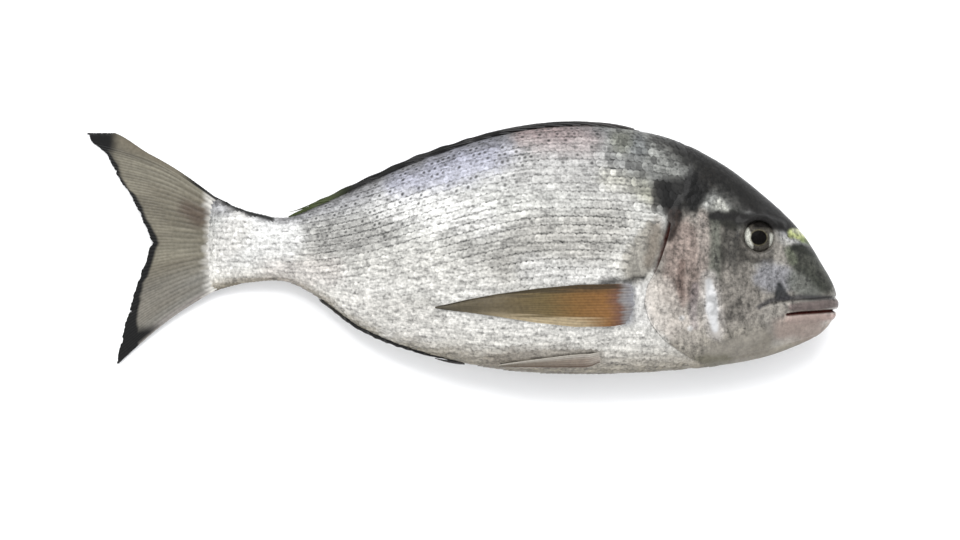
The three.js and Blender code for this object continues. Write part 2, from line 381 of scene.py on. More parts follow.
def cloud(x, y, size):
    """Soft random values from 0 to 1, with lumps of the given size."""
    x, y = np.asarray(x) / size, np.asarray(y) / size
    i, j = np.floor(x).astype(int), np.floor(y).astype(int)
    fx, fy = smooth(0, 1, x - i), smooth(0, 1, y - j)
    corner = lambda a, b: LATTICE[(i + a) % 64, (j + b) % 64]
    low = corner(0, 0) * (1 - fx) + corner(1, 0) * fx
    high = corner(0, 1) * (1 - fx) + corner(1, 1) * fx
    return low * (1 - fy) + high * fy


def lumps(x, y, size):
    """Rough random values about 0: lumps of the size, and of a half and a quarter of it."""
    large, middling = cloud(x, y, size) - 0.5, cloud(y + 31, x + 17, size / 2) - 0.5
    return large + 0.7 * middling + 0.5 * (cloud(x + 53, y + 71, size / 4) - 0.5)


# %% [markdown]
# ## The edge of the gill cover
# The head is a piece of its own over the trunk, because a fish's gill cover is a loose flap with a free
# rear edge. A groove cut in one skin could stand for it, but it would have no edge and no shade inside.
# The line runs from the slit's upper end down to the throat. Above the slit the head grows into the
# nape, so there the two skins meet level and no edge shows.

# %% The gill line
GILL_LINE = np.array([
    # level, x of the rear edge
    [-56, 117], [-52.5, 110], [-49, 103], [-45, 95], [-39, 86.5], [-32, 80.5], [-24, 77.8], [-16, 79],
    [-10, 82.6], [-4, 85], [2, 87], [8, 88.6], [12, 89], [17, 87], [26, 83], [40, 80], [56, 79],
])
SLIT_TOP, SLIT_END = 11, -10  # levels between which the gill cover stands open
levels = np.arange(-60, 60, 0.25)
edges = np.interp(levels, GILL_LINE[:, 0], GILL_LINE[:, 1])
softening = bell(np.arange(-20, 21) * 0.25, 0, 1.5)
edges = np.convolve(np.pad(edges, 20, mode="edge"), softening / softening.sum(), mode="valid")
print("the gill cover reaches back to x, mm:", round(edges.min(), 1))


def gill_edge(y):
    """x of the gill cover's rear edge at a level."""
    return np.interp(y, levels, edges)


def flap(y):
    """1 where the gill cover's edge is free, and 0 where the head grows into the nape."""
    return 1 - smooth(SLIT_TOP - 1, SLIT_TOP + 3, y)


def slit(y):
    """1 where the gill cover stands open."""
    return smooth(SLIT_END - 1.5, SLIT_END + 1.5, y) * (1 - smooth(SLIT_TOP - 3, SLIT_TOP + 1, y))


# %% [markdown]
# ## Paint
# A bream's colours are laid in regions with soft, mottled borders: a near-black back and forehead, silver
# flanks, a black blotch behind the head, a gold bar between the eyes and pink on the gill cover. Noise
# alone can't put them in their places. They are painted into each vertex as a colour attribute, and the
# finishes add the fine grain on top of it. Some of the paint is painted light: shade where the belly and
# the throat turn under, shade under the brow and in the gill slit, and wet highlights on the head.

# %% Colours of the flank from the back to the belly, ending in painted shade at the belly
PAINT_LEVEL = 0.5  # the studio lights a white floor past white, so the fish is painted below its look
RAGGEDNESS = 0.5


def linear(colour):
    """An 8-bit display colour as the renderer's linear light."""
    share = np.asarray(colour, float) / 255
    return np.where(share <= 0.04045, share / 12.92, ((share + 0.055) / 1.055) ** 2.4)


FLANK_SHARES = [0, 0.02, 0.05, 0.12, 0.3, 0.55, 0.74, 0.84, 0.91, 0.96, 1]
# From the share 0.91 on, the olive and brown colours are painted shade where the belly turns under.
FLANK_COLOURS_AND_BELLY_SHADE = linear([
    (40, 40, 39), (62, 61, 60), (118, 117, 118), (174, 174, 176), (211, 211, 206), (240, 238, 231),
    (254, 252, 246), (250, 247, 239), (206, 199, 186), (156, 148, 130), (124, 114, 97),
])

print("flank colours:", len(FLANK_COLOURS_AND_BELLY_SHADE))

# %% Strokes of colour, each with a colour, a strength, a softness and a chain
TRUNK_STROKES = [
    ((178, 180, 204), 0.5, 10, [(-26, 25, 0), (2, 35, 2), (20, 40, 0)]),
    ((182, 152, 150), 0.5, 8, [(28, 47, 1), (42, 46, 3), (56, 44, 1)]),
    ((138, 140, 138), 0.6, 12, [(66, 42, 4), (80, 36, 8), (92, 30, 6)]),
    ((150, 162, 176), 0.5, 5, [(76, 43, 2)]),
    ((168, 172, 128), 0.45, 6, [(69, 45, 2)]),
    ((190, 188, 158), 0.5, 7, [(62, 30, 0), (76, 26, 1), (80, 22, 0)]),
    # Painted shade: brownish low on the belly by the pelvic fin, where the belly turns under.
    ((148, 138, 124), 0.65, 5, [(14, -47.5, 1), (36, -46, 2.5), (56, -46, 1.5)]),
    ((184, 182, 178), 0.5, 14, [(28, 36, 3), (50, 34, 6), (66, 24, 3)]),
    ((172, 168, 160), 0.5, 12, [(62, 8, 3), (50, 2, 5), (34, 4, 3), (20, -8, 2)]),
    ((170, 168, 162), 0.5, 10, [(24, 4, 2), (12, 0, 4), (2, 4, 2)]),
    ((150, 148, 144), 0.6, 10, [(-34, 8, 2), (-48, 5, 4), (-60, 6, 2)]),
    ((206, 192, 184), 0.35, 8, [(-56, -10, 2), (-80, -9, 1)]),
    ((176, 172, 160), 0.4, 8, [(-14, -27, 2), (-34, -27, 2)]),
    ((252, 251, 248), 0.5, 9, [(10, 12, 3), (-10, 16, 4), (-30, 17, 2)]),
    ((252, 251, 248), 0.5, 8, [(60, -12, 1), (30, -9, 2)]),
    ((252, 252, 250), 0.6, 8, [(-74, 3, 4), (-96, 3, 6)]),
    ((248, 245, 238), 0.85, 9, [(-8, -34, 2), (-30, -30, 3), (-46, -22, 2)]),
    ((222, 219, 213), 0.6, 8, [(-94, 10, 2), (-100, 2, 4)]),
    ((14, 14, 14), 1, 1.6, [(-80, 12.6, 0.2), (-90, 15.6, 0.8), (-98, 19.4, 1), (-108, 25.4, 1)]),
    ((160, 155, 144), 0.85, 4, [(81, 6, 3), (77, -3, 5), (74, -9, 4)]),
    ((116, 102, 88), 0.6, 4, [(83, 10, 0.4), (81, 0, 0.8), (80, -7, 0.3)]),
    ((250, 248, 244), 0.7, 4, [(77, -18, 2), (76, -28, 3)]),
    ((152, 153, 158), 0.9, 4, [(71, -18, 1.4), (70, -30, 1.4)]),
    ((40, 36, 32), 0.8, 1.6, [(60, -14.4, 0.1), (70, -14, 0.4), (76, -12, 0.2)]),
]
HEAD_STROKES = [
    ((158, 153, 145), 1, 6, [(95, 0, 16), (112, -14, 22), (140, -18, 16), (104, -34, 14)]),
    ((146, 140, 132), 0.8, 7, [(112, -8, 5), (117, -18, 8), (116, -28, 7)]),
    ((88, 85, 79), 0.8, 6, [(113, 6, 3), (115, -1, 4)]),
    ((156, 149, 136), 0.85, 5, [(126, -40, 4), (108, -45, 6), (92, -46, 5)]),
    ((164, 147, 138), 0.85, 6, [(94, 5, 4), (94, -8, 6), (93, -18, 5)]),
    ((226, 217, 207), 0.85, 6, [(83, -18, 3), (87, -27, 5), (96, -34, 4)]),
    ((180, 174, 163), 0.6, 6, [(96, -40, 3), (112, -40, 3), (124, -36, 2)]),
    # Painted shade: olive along the throat's lower edge, where it turns under.
    ((126, 122, 102), 0.7, 4, [(80, -52, 2), (98, -50.5, 2), (112, -47.5, 1)]),
]
NAPE_STROKES = [
    ((112, 113, 109), 0.75, 12, [(70, 46, 3), (82, 40, 7)]),
    ((158, 159, 154), 0.75, 8, [(86, 42, 3), (95, 34, 6), (104, 27, 4), (112, 19, 2)]),
    ((54, 53, 50), 0.95, 7, [(84, 49, 1), (94, 42, 2), (108, 32, 4), (120, 22, 5)]),
    ((24, 23, 21), 0.97, 5, [(94, 44, 0.5), (108, 34.5, 2), (120, 25, 3), (132, 15, 4), (140, 9, 2)]),
    ((40, 37, 31), 0.9, 3, [(84, 26, 1), (82.6, 18, 1)]),
    ((28, 26, 23), 0.94, 5, [(87, 24, 3), (96, 23, 5), (105, 30, 2)]),
    ((5, 5, 4), 1, 4.5, [(88, 25, 1.4), (88.6, 19, 2.6), (91, 15, 1.4)]),
    ((5, 5, 4), 1, 4.5, [(97, 28, 2), (99, 22.6, 2.6), (98, 17, 0.6)]),
    ((38, 26, 20), 0.92, 2.6, [(90.4, 13.6, 2.2), (89.4, 8, 1.3), (88, 4, 0.5)]),
]
FACE_STROKES = [
    # Dark pigment with painted shade: the dark band running back from the brow.
    ((30, 30, 23), 0.94, 3.5, [(107, 12.6, 1), (114, 12.4, 3.2), (120, 10.6, 2)]),
    # Painted highlight: a wet glint above and behind the eye.
    ((218, 218, 209), 0.9, 2.6, [(106.6, 17, 0.2), (109.6, 18.6, 0.8), (112, 16, 0.2)]),
    ((58, 55, 50), 0.85, 3, [(118.6, 4, 1), (119.5, -2, 1), (124, -5.4, 0.6), (131, -5, 0.4)]),
    ((166, 155, 147), 0.7, 3.4, [(102, 13, 0.8), (103.6, 3, 1), (102, -8, 0.8)]),
    ((112, 114, 104), 0.8, 2.4, [(107, 11, 1), (107.6, 0, 1.4), (107, -12, 1.2)]),
    ((74, 72, 66), 0.7, 1.6, [(111.6, 6, 0.2), (110.4, -1, 0.5), (111, -8, 0.1)]),
    ((70, 68, 64), 0.6, 1.8, [(116, 3, 0.3), (114.6, -4, 0.6), (116, -11, 0.1)]),
    # Painted highlight: a white strip along the cheek plate's ridge, in two strokes.
    ((228, 222, 216), 0.8, 5, [(104.6, -13, 0.2), (105.4, -22, 1.6), (108, -35, 0.4)]),
    ((255, 255, 255), 1, 2, [(104.8, -14.4, 0.3), (105.6, -20, 1.2), (106, -25, 1.5), (107.4, -34, 0.4)]),
    ((150, 140, 142), 0.55, 1.8, [(99, -16, 0.8), (98, -26, 1), (99, -33, 0.5)]),
    ((124, 101, 92), 0.55, 1.8, [(93.5, -6, 0.5), (92.5, -16, 0.8), (94, -24, 0.3)]),
    # Painted highlights: two wet glints on the gill cover.
    ((255, 253, 250), 0.85, 1.2, [(93.5, -29.6, 0.5)]),
    ((255, 253, 250), 0.85, 1.2, [(97, -34, 0.5)]),
    ((104, 100, 94), 0.8, 3, [(126.5, 4, 7)]),
    # Dark pigment with painted shade: the black band over the eye, under the brow.
    ((20, 18, 17), 0.97, 3,
     [(106, 13.6, 0.1), (114, 13.6, 0.8), (122, 12, 1.6), (131, 11.2, 1.8), (141, 9.2, 0.6)]),
    ((176, 173, 165), 0.55, 1.6, [(124, -7.6, 0.3), (130, -8, 0.5), (136, -6.6, 0.3)]),
    ((152, 152, 157), 0.85, 5, [(130, -12, 3.4), (136, -13, 3)]),
    ((116, 118, 112), 0.9, 5, [(143, -14, 3), (149, -17.4, 2.4)]),
    ((56, 59, 51), 0.92, 4.5, [(143, -3.6, 3), (150, -7.6, 4), (155, -15, 2.4)]),
    ((140, 146, 124), 0.5, 2.4, [(138.6, -0.6, 0.6), (140.6, -5, 0.6)]),
    ((204, 212, 146), 0.96, 2, [(140.6, 6.4, 0.6), (143.4, 5.6, 1.1), (146, 4.6, 0.8)]),
    ((226, 228, 196), 0.8, 1.4, [(141.4, 7.4, 0.2), (145, 6.6, 0.3)]),
    ((92, 112, 46), 0.7, 1.6, [(145, 3.4, 0.2), (148, 2.4, 0.4)]),
    ((34, 36, 30), 0.9, 2, [(141, 0.2, 0.5), (146, -0.6, 1), (150, -2, 0.8)]),
    ((44, 46, 48), 0.94, 2, [(134.6, -15.4, 0.3), (135.4, -19.6, 1.8), (138.6, -21, 0.5)]),
    ((62, 61, 64), 0.8, 1.6, [(126, -25, 0), (131.6, -21.9, 0.3), (144, -20.8, 0.4), (158, -21.4, 0.4)]),
    ((116, 103, 100), 0.92, 1.4, [(140, -25, 0.8), (150, -24.3, 1.2), (160, -23.4, 1)]),
    ((200, 176, 168), 0.95, 1.6, [(139, -30.6, 0.8), (150, -29.8, 1), (158, -29, 0.8)]),
    ((178, 161, 151), 0.85, 8, [(138, -34, 1), (150, -34, 2)]),
    ((84, 36, 30), 1, 0.7, [(138.4, -28.2, 0.2), (144, -27.5, 0.35), (161, -26.4, 0.45)]),
]
MARK_STROKES = [
    # The gill slit: dark red-brown of the gills, with painted shade inside the open slit.
    ((84, 42, 34), 0.92, 1.6, [(89.6, 10, 0.6), (87.4, 3, 0.9), (85.6, -3, 0.7), (83.2, -9.5, 0.3)]),
    ((30, 30, 30), 0.95, 1.2, [(77.2, -12.6, 0.6)]),
]
print("strokes:", sum(map(len, (TRUNK_STROKES, HEAD_STROKES, NAPE_STROKES, FACE_STROKES, MARK_STROKES))))


# %% Laying the paint on
def blended(under, over, share):
    share = np.asarray(share)[..., None]
    return under * (1 - share) + over * share


def layered(under, *layers):
    """Paints layers over one another, each a display colour and the share of it that covers."""
    for tint, share in layers:
        under = blended(under, linear(tint), share)
    return under


def painted(x, y, share, strokes):
    """Linear colours for places on the skin. share runs from the back, 0, to the belly, 1."""
    colour = np.stack([np.interp(share, FLANK_SHARES, FLANK_COLOURS_AND_BELLY_SHADE[:, c]) for c in range(3)], -1)
    ragged = [lumps(x, y, 6), -lumps(y + 9, x, 4.5)]
    for i, (tint, strength, softness, chain) in enumerate(strokes):
        mask = stroke(x, y, softness, chain)
        islands = RAGGEDNESS * min(1, softness / 3)  # narrow strokes keep clean edges
        mask = np.clip(mask + islands * ragged[i % 2] * 4 * mask * (1 - mask), 0, 1)
        colour = blended(colour, linear(tint), strength * mask)
    return colour * PAINT_LEVEL


# %% What each vertex keeps for the finishes to read
def store_paint(piece, colours):
    layer = piece.data.color_attributes.new("paint", "FLOAT_COLOR", "POINT")
    rgba = np.concatenate([colours, np.ones((len(colours), 1))], axis=1)
    layer.data.foreach_set("color", rgba.astype(np.float32).ravel())


def store_ray(piece, values):
    layer = piece.data.attributes.new("ray", "FLOAT", "POINT")
    layer.data.foreach_set("value", np.broadcast_to(values, len(piece.data.vertices)).astype(np.float32))


def store_three(piece, name, first, second, third=0.0):
    layer = piece.data.attributes.new(name, "FLOAT_VECTOR", "POINT")
    rows = np.stack(np.broadcast_arrays(first, second, third, np.zeros(len(piece.data.vertices)))[:3], -1)
    layer.data.foreach_set("vector", rows.astype(np.float32).ravel())


# %% [markdown]
# ## Shader maths in plain sums
# A finish could be drawn link by link, but it is easier to read as a formula. The class wraps a socket,
# and adding or multiplying two of them adds the Math node. Any other node comes from `node`.

# %% A socket that can be added and multiplied
class Signal:
    def __init__(self, finish, socket):
        self.finish = finish
        self.socket = socket

    def maths(self, operation, first, second=0.0):
        return self.finish.node("Math", {"operation": operation}, {0: first, 1: second})

    def __add__(self, other):
        return self.maths("ADD", self, other)

    def __sub__(self, other):
        return self.maths("SUBTRACT", self, other)

    def __rsub__(self, other):
        return self.maths("SUBTRACT", other, self)

    def __mul__(self, other):
        return self.maths("MULTIPLY", self, other)

    def at_least(self, least):
        return self.maths("MAXIMUM", self, least)

    __radd__ = __add__
    __rmul__ = __mul__


class Finish:
    """A material being built: its nodes, and the values of its Principled shader."""

    def __init__(self, name, **sockets):
        self.material = bpy.data.materials.new(name)
        self.material.use_nodes = True
        self.tree = self.material.node_tree
        self.shader = self.tree.nodes["Principled BSDF"]
        for socket, value in sockets.items():
            self.shader.inputs[socket.replace("_", " ")].default_value = value

    def put(self, socket, value):
        if isinstance(value, Signal):
            self.tree.links.new(value.socket, socket)
        else:
            socket.default_value = value

    def node(self, kind, settings=None, inputs=None, output=0):
        node = self.tree.nodes.new("ShaderNode" + kind)
        for name, value in (settings or {}).items():
            setattr(node, name, value)
        for socket, value in (inputs or {}).items():
            self.put(node.inputs[socket], value)
        return Signal(self, node.outputs[output])

    def split(self, vector):
        parts = self.node("SeparateXYZ", {}, {0: vector})
        outputs = parts.socket.node.outputs
        return Signal(self, outputs[0]), Signal(self, outputs[1]), Signal(self, outputs[2])

    def spread(self, value, from_low, from_high, to_low, to_high):
        return self.node("MapRange", {}, {0: value, 1: from_low, 2: from_high, 3: to_low, 4: to_high})

    def swing(self, noise, amount):
        """A noise as an unevenness about 0."""
        return self.spread(noise, 0.3, 0.7, -amount, amount)

    def place(self):
        return self.node("TexCoord", output="Object")

    def noise(self, scale, detail=3.0, stretch=(1, 1, 1), roughness=0.5):
        where = self.node("Mapping", {}, {0: self.place(), "Scale": stretch})
        inputs = {"Vector": where, "Scale": scale, "Detail": detail, "Roughness": roughness}
        return self.node("TexNoise", {}, inputs)

    def grey(self, value):
        return self.node("CombineColor", {}, {0: value, 1: value, 2: value})

    def attribute(self, name, output="Vector"):
        return self.node("Attribute", {"attribute_name": name}, output=output)

    def toned(self, tone):
        """The piece's paint, made lighter or darker by the tone."""
        settings = {"data_type": "RGBA", "blend_type": "MULTIPLY"}
        inputs = {0: 1.0, 6: self.attribute("paint", "Color"), 7: self.grey(tone)}
        return self.node("Mix", settings, inputs, output=2)

    def bump(self, height, distance, strength, tilt=None):
        inputs = {"Strength": strength, "Distance": distance, "Height": height}
        if tilt:
            straight = self.node("NewGeometry", output="Normal")
            leaning = self.node("VectorMath", {"operation": "ADD"}, {0: straight, 1: tilt})
            inputs["Normal"] = self.node("VectorMath", {"operation": "NORMALIZE"}, {0: leaning})
        return self.node("Bump", {}, inputs)

    def link(self, **sockets):
        for socket, value in sockets.items():
            self.put(self.shader.inputs[socket.replace("_", " ")], value)
        return self.material


# %% [markdown]
# ## The finishes of the skin
# Fish skin is silver because tiny crystals in it act as mirrors, and a film of water lies over it. Pure
# metal would only mirror the white room, so the skin is a little metallic with a thin clear coat, and its
# shine is kept low so that the blacks stay black. The paint gives the region's colour. Noise gives the
# grain of the pigment cells and the film's unevenness.

# %% Skin of the head and the trunk
def skin_finish():
    finish = Finish("wet_skin", Metallic=0.1, Specular_IOR_Level=0.13, Coat_Weight=0.1, Coat_Roughness=0.12)
    mottled, scaly, _ = finish.split(finish.attribute("grainy"))
    grain = finish.noise(700, 5, roughness=0.7)
    streaks = finish.noise(260, 5, (1.4, 0.5, 1), 0.65)
    cells = finish.node("TexVoronoi", {"feature": "F1"}, {"Vector": finish.place(), "Scale": 400})
    flecks = finish.node("TexVoronoi", {"feature": "F1"}, {"Vector": finish.place(), "Scale": 1000}, "Color")
    fleck, _, _ = finish.split(flecks)
    unevenness = finish.swing(grain, 0.5) + finish.swing(streaks, 0.55)
    unevenness = unevenness + finish.spread(fleck, 0, 1, -0.2, 0.2)
    tone = (1 + mottled * unevenness) * (1 - scaly * finish.spread(cells, 0.35, 0.8, 0, 0.55))
    height = cells * scaly * -0.6 + 0.3 * grain + 0.25 * streaks + 0.05 * fleck
    return finish.link(
        Base_Color=finish.toned(tone.at_least(0.3)),
        Roughness=0.26 + 0.3 * grain,
        Normal=finish.bump(height, 0.0008, 0.9),
    )


# %% Scales
def scale_finish():
    shine = {"Metallic": 0.18, "Specular_IOR_Level": 0.2, "Coat_Weight": 0.12, "Coat_Roughness": 0.12}
    finish = Finish("silver_scales", **shine)
    along, across, luck = finish.split(finish.attribute("place"))
    lined, dotted, speckled = finish.split(finish.attribute("marks"))
    grain = finish.noise(800, 4)
    streak = finish.noise(600, 4, (0.2, 1, 1), 0.6)
    seam = finish.spread(across * across, 0.2, 0.55, 0, 1) * lined
    to_dot = along - 0.8
    dot = finish.spread(to_dot * to_dot * 11 + across * across * 4, 0.0, 0.5, 1, 0) * dotted
    rim = finish.spread(along, 0.78, 0.95, 0, 0.1)
    uneven = finish.swing(grain, 0.36) + finish.swing(streak, 0.44)
    tone = (0.92 + 0.14 * luck + rim + uneven) * (1 - seam) * (1 - dot) * (1 + speckled)
    return finish.link(
        Base_Color=finish.toned(tone.at_least(0.05)),
        Roughness=0.26 + 0.2 * luck + 0.12 * grain,
        Normal=finish.bump(grain, 0.0002, 0.5, finish.attribute("tilt")),
    )


WET_SKIN = skin_finish()
SILVER_SCALES = scale_finish()
print("finishes:", WET_SKIN.name, SILVER_SCALES.name)

# %% [markdown]
# ## The trunk
# The trunk's skin runs from the tail's root to well under the head, as flesh does. It could end at the
# gill cover, but then the open slit would show a gap. Under the scales it lies a little deep, and behind
# the gill cover it sinks into the slit.

# %% Trunk skin
SCALE_BED = 0.45  # depth of the skin under the scales
TRUNK_FRONT = SNOUT - 0.17 * TRUNK_LENGTH
TRUNK_REAR = body_low[0] - 5  # the flesh runs a little way onto the tail fin


def thinned(x):
    """The flesh thins to nothing where it runs out on the tail fin."""
    return 1 - 0.93 * smooth(TRUNK_REAR + 8, TRUNK_REAR, x)


def sides_of(turn):
    """The share from the back to the belly, and the side, for a turn that starts at the back."""
    return np.where(turn <= 0.5, 2 * turn, 2 - 2 * turn), np.where(turn <= 0.5, 1, -1)


def swollen(piece, points, sides, lift):
    """Lays the points down after lifting each along its normal."""
    move_to(piece, widened(points, sides))
    raised = points_of(piece) / MM + vertex_normals(piece) * np.asarray(lift)[:, None]
    move_to(piece, laid(raised))


# Where the scales begin: level, and the most forward x of a scale's centre.
SCALE_FRONT = np.array([
    [-56, 104], [-50, 97], [-44, 87], [-38, 79], [-34, 74], [-31, 63], [-16, 64], [-12, 69], [-3, 72.5],
    [6, 79], [11, 84], [16, 88], [24, 94], [34, 97], [44, 96], [56, 92],
])


def scale_front(y):
    """How far forward the scales reach at a level."""
    return np.interp(y, SCALE_FRONT[:, 0], SCALE_FRONT[:, 1])


def scale_bed(x, y):
    """How far the skin lies under the scales. It comes level where they end."""
    return -SCALE_BED * (1 - smooth(-1, 2.5, x - scale_front(y)))


def trunk_lift(x, y):
    """The bed of the scales, the open slit, and the part that the head hides."""
    bed = scale_bed(x, y)
    behind = gill_edge(y) - x
    opened = -1.5 * slit(y) * bell(behind, 0.4, 1.5)
    hidden = -2.2 * flap(y) * smooth(0, 1.6, -behind)
    nape = -0.9 * (1 - flap(y)) * smooth(1, -4, behind)
    return bed + opened + hidden + nape


# %% Building the trunk
TRUNK_RINGS, FRONT_RINGS, REAR_RINGS = 190, 12, 6  # the last two close the ends
FRONT_DOME, REAR_DOME = 6, 1.2


def build_trunk():
    piece, turn, ring = new_ball("trunk", 150, TRUNK_RINGS)
    share, sides = sides_of(turn)
    place = np.clip((ring - FRONT_RINGS) / (TRUNK_RINGS - REAR_RINGS - FRONT_RINGS), 0, 1)
    x = TRUNK_FRONT - (TRUNK_FRONT - TRUNK_REAR) * place
    points = skin(x, lean_at(x, share))
    centre = skin(x, np.zeros_like(x)) * [1, 1, 0]
    open_front = np.clip(ring / FRONT_RINGS, 0, 1)
    open_rear = np.clip((TRUNK_RINGS - ring) / REAR_RINGS, 0, 1)
    shrink = open_front * open_rear
    points = centre + (points - centre) * np.sin(shrink * math.pi / 2)[:, None]
    points[:, 0] += FRONT_DOME * (1 - open_front) - REAR_DOME * (1 - open_rear)
    points[:, 2] *= thinned(x)
    lift = np.where(shrink >= 1, trunk_lift(x, points[:, 1]), 0) * thinned(x)
    swollen(piece, points, sides, lift)
    store_paint(piece, painted(x, points[:, 1], share, TRUNK_STROKES + NAPE_STROKES + MARK_STROKES))
    store_three(piece, "grainy", 0.7, 0.3)
    shade_smooth(piece, SMOOTH_SKIN)
    finish_piece(piece, "silver_skin", WET_SKIN, "body")


build_trunk()

# %% [markdown]
# ## The head
# The head carries most of the character. It is one closed skin whose poles are the snout and a hidden
# point inside the trunk. Its rings crowd towards the snout, where the mouth is. Bones modelled one by one
# would show seams that a real face hides under its skin. So relief strokes cut the mouth, the nostrils
# and the seams between the bony plates, and raise the lips and the brow.

# %% Relief of the head
EYE_RADIUS = 6.7
eye_low, eye_high = cad_box("right_eye")
EYE_X, EYE_Y = ((eye_low + eye_high) / 2)[:2]
HEAD_RELIEF = [
    # height, softness, chain
    (-1.5, 0.8, [(138.6, -28.2, 0), (144, -27.5, 0), (162, -26.4, 0.05)]),
    (0.75, 1.8, [(140, -25.4, 0.2), (150, -24.8, 0.5), (161, -23.8, 0.6)]),
    (0.7, 1.9, [(139.5, -30, 0.2), (150, -29.4, 0.5), (159, -28.6, 0.5)]),
    (-0.7, 1.1, [(128, -24.6, 0), (137, -22.9, 0.1), (150, -22, 0.1), (160, -20.8, 0)]),
    (-0.5, 1.4, [(134.5, -19, 0.1), (136, -21.8, 0.5)]),
    (-0.45, 1.2, [(122, -8, 0), (126, -14, 0), (128, -24.6, 0)]),
    (0.6, 2.6, [(119, 11.4, 0.3), (128, 12.4, 0.8), (136, 9.4, 0.3)]),
    (-1.2, 0.9, [(139.2, 5.2, 0.1), (140.4, 4.2, 0.1)]),
    (-0.9, 0.8, [(143, 4.4, 0.1)]),
    (-0.3, 1.6, [(137.5, -28.8, 0), (132, -33, 0), (124, -37, 0), (112, -40, 0)]),
    (-0.3, 0.9, [(150, -37.5, 0), (130, -43.5, 0), (114, -46.5, 0)]),
    (-0.35, 0.9, [(128, -46.2, 0), (112, -49, 0), (104, -49.6, 0)]),
    (-0.45, 0.9, [(103.5, -30, 0), (95, -31.5, 0), (84, -27.5, 0), (80, -24, 0)]),
    (0.5, 7, [(93, -6, 2), (92, -20, 2)]),
    (0.35, 3, [(134, -12, 2), (139, -15, 2)]),
    (-0.25, 1.2, [(99, -12, 0), (98, -36, 0)]),
    (-0.2, 1.0, [(94.5, -10, 0), (92.5, -28, 0)]),
]
CHEEK_PLATE = np.array([
    # level, x of the cheek plate's rear edge
    [-42, 112], [-37, 107], [-30, 103.6], [-20, 102.2], [-8, 102.6], [4, 102.6], [14, 100],
])
CHEEK_STEP = 0.75  # how far the plate stands over the gill cover
SOCKET_RIM = 8.2
SOCKET_DEPTH = 2.4
print("strokes of relief on the head:", len(HEAD_RELIEF))


def head_lift(x, y, share):
    """How far the head's skin stands out of the plain section at each point."""
    lift = np.zeros_like(x)
    for height, softness, chain in HEAD_RELIEF:
        lift += height * stroke(x, y, softness, chain)
    ahead = x - np.interp(y, CHEEK_PLATE[:, 0], CHEEK_PLATE[:, 1])
    reach = smooth(-43, -38, y) * (1 - smooth(10, 15, y))
    lift += CHEEK_STEP * reach * smooth(-0.3, 0.5, ahead) * np.exp(-np.maximum(ahead - 2, 0) / 9)
    lift += 0.4 * reach * bell(ahead, 2.5, 1.8)
    from_eye = np.hypot(x - EYE_X, y - EYE_Y)
    lift += 0.4 * bell(from_eye, SOCKET_RIM, 1.1) - SOCKET_DEPTH * smooth(7.2, 6.0, from_eye)
    flat = smooth(0.02, 0.09, share) * smooth(0.02, 0.09, 1 - share)
    mouth = smooth(134, 139, x)
    lift *= np.maximum(flat, mouth)
    lift += (cloud(x, y, 2.3) - 0.5) * 0.12 * smooth(1, 4, from_eye - 7)
    return lift


# %% The head's rear edge and its grain
NAPE_OVERLAP = 4.5  # how far the head runs back over the nape, past the gill line


def head_rear(share):
    """x where the head ends, found by stepping towards the gill line at each point's own level."""
    rear = np.full(len(share), 90.0)
    for _ in range(60):
        level = skin(rear, lean_at(rear, share))[:, 1]
        nape = NAPE_OVERLAP * (1 - flap(level))
        rear = 0.6 * rear + 0.4 * (gill_edge(level) - nape)
    return rear


def store_head_grain(piece, x, y):
    """How mottled and how scaly the skin is: rough on the nape and the cheek, plain on the jaw."""
    cheek = stroke(x, y, 5, [(112, -4, 6), (114, -22, 8)])
    nape = stroke(x, y, 6, [(88, 30, 14), (104, 24, 8)])
    cover = stroke(x, y, 5, [(92, 4, 5), (91, -18, 7)])
    grainy = 1.0 - 0.7 * stroke(x, y, 6, [(150, -24, 4), (146, -36, 5), (110, -48, 5)])
    grainy += 0.3 * nape - 0.25 * stroke(x, y, 5, [(82, -18, 3), (90, -32, 5)])
    # The painted highlight along the cheek plate's ridge is kept free of grain.
    grainy -= 0.8 * stroke(x, y, 2, [(104.6, -14, 1), (107.6, -36, 1)])
    store_three(piece, "grainy", np.maximum(grainy, 0.1), np.clip(0.7 * cheek + nape + 0.6 * cover, 0, 1))


# %% Building the head
HEAD_RINGS, ROLL_RINGS, CAP_RINGS = 206, 7, 5  # the last two turn the edge in and close it
HEAD_CORE = np.array([108, -2, 0])  # the hidden point that the rings close on
FLESH_INSIDE = (70, 34, 30)


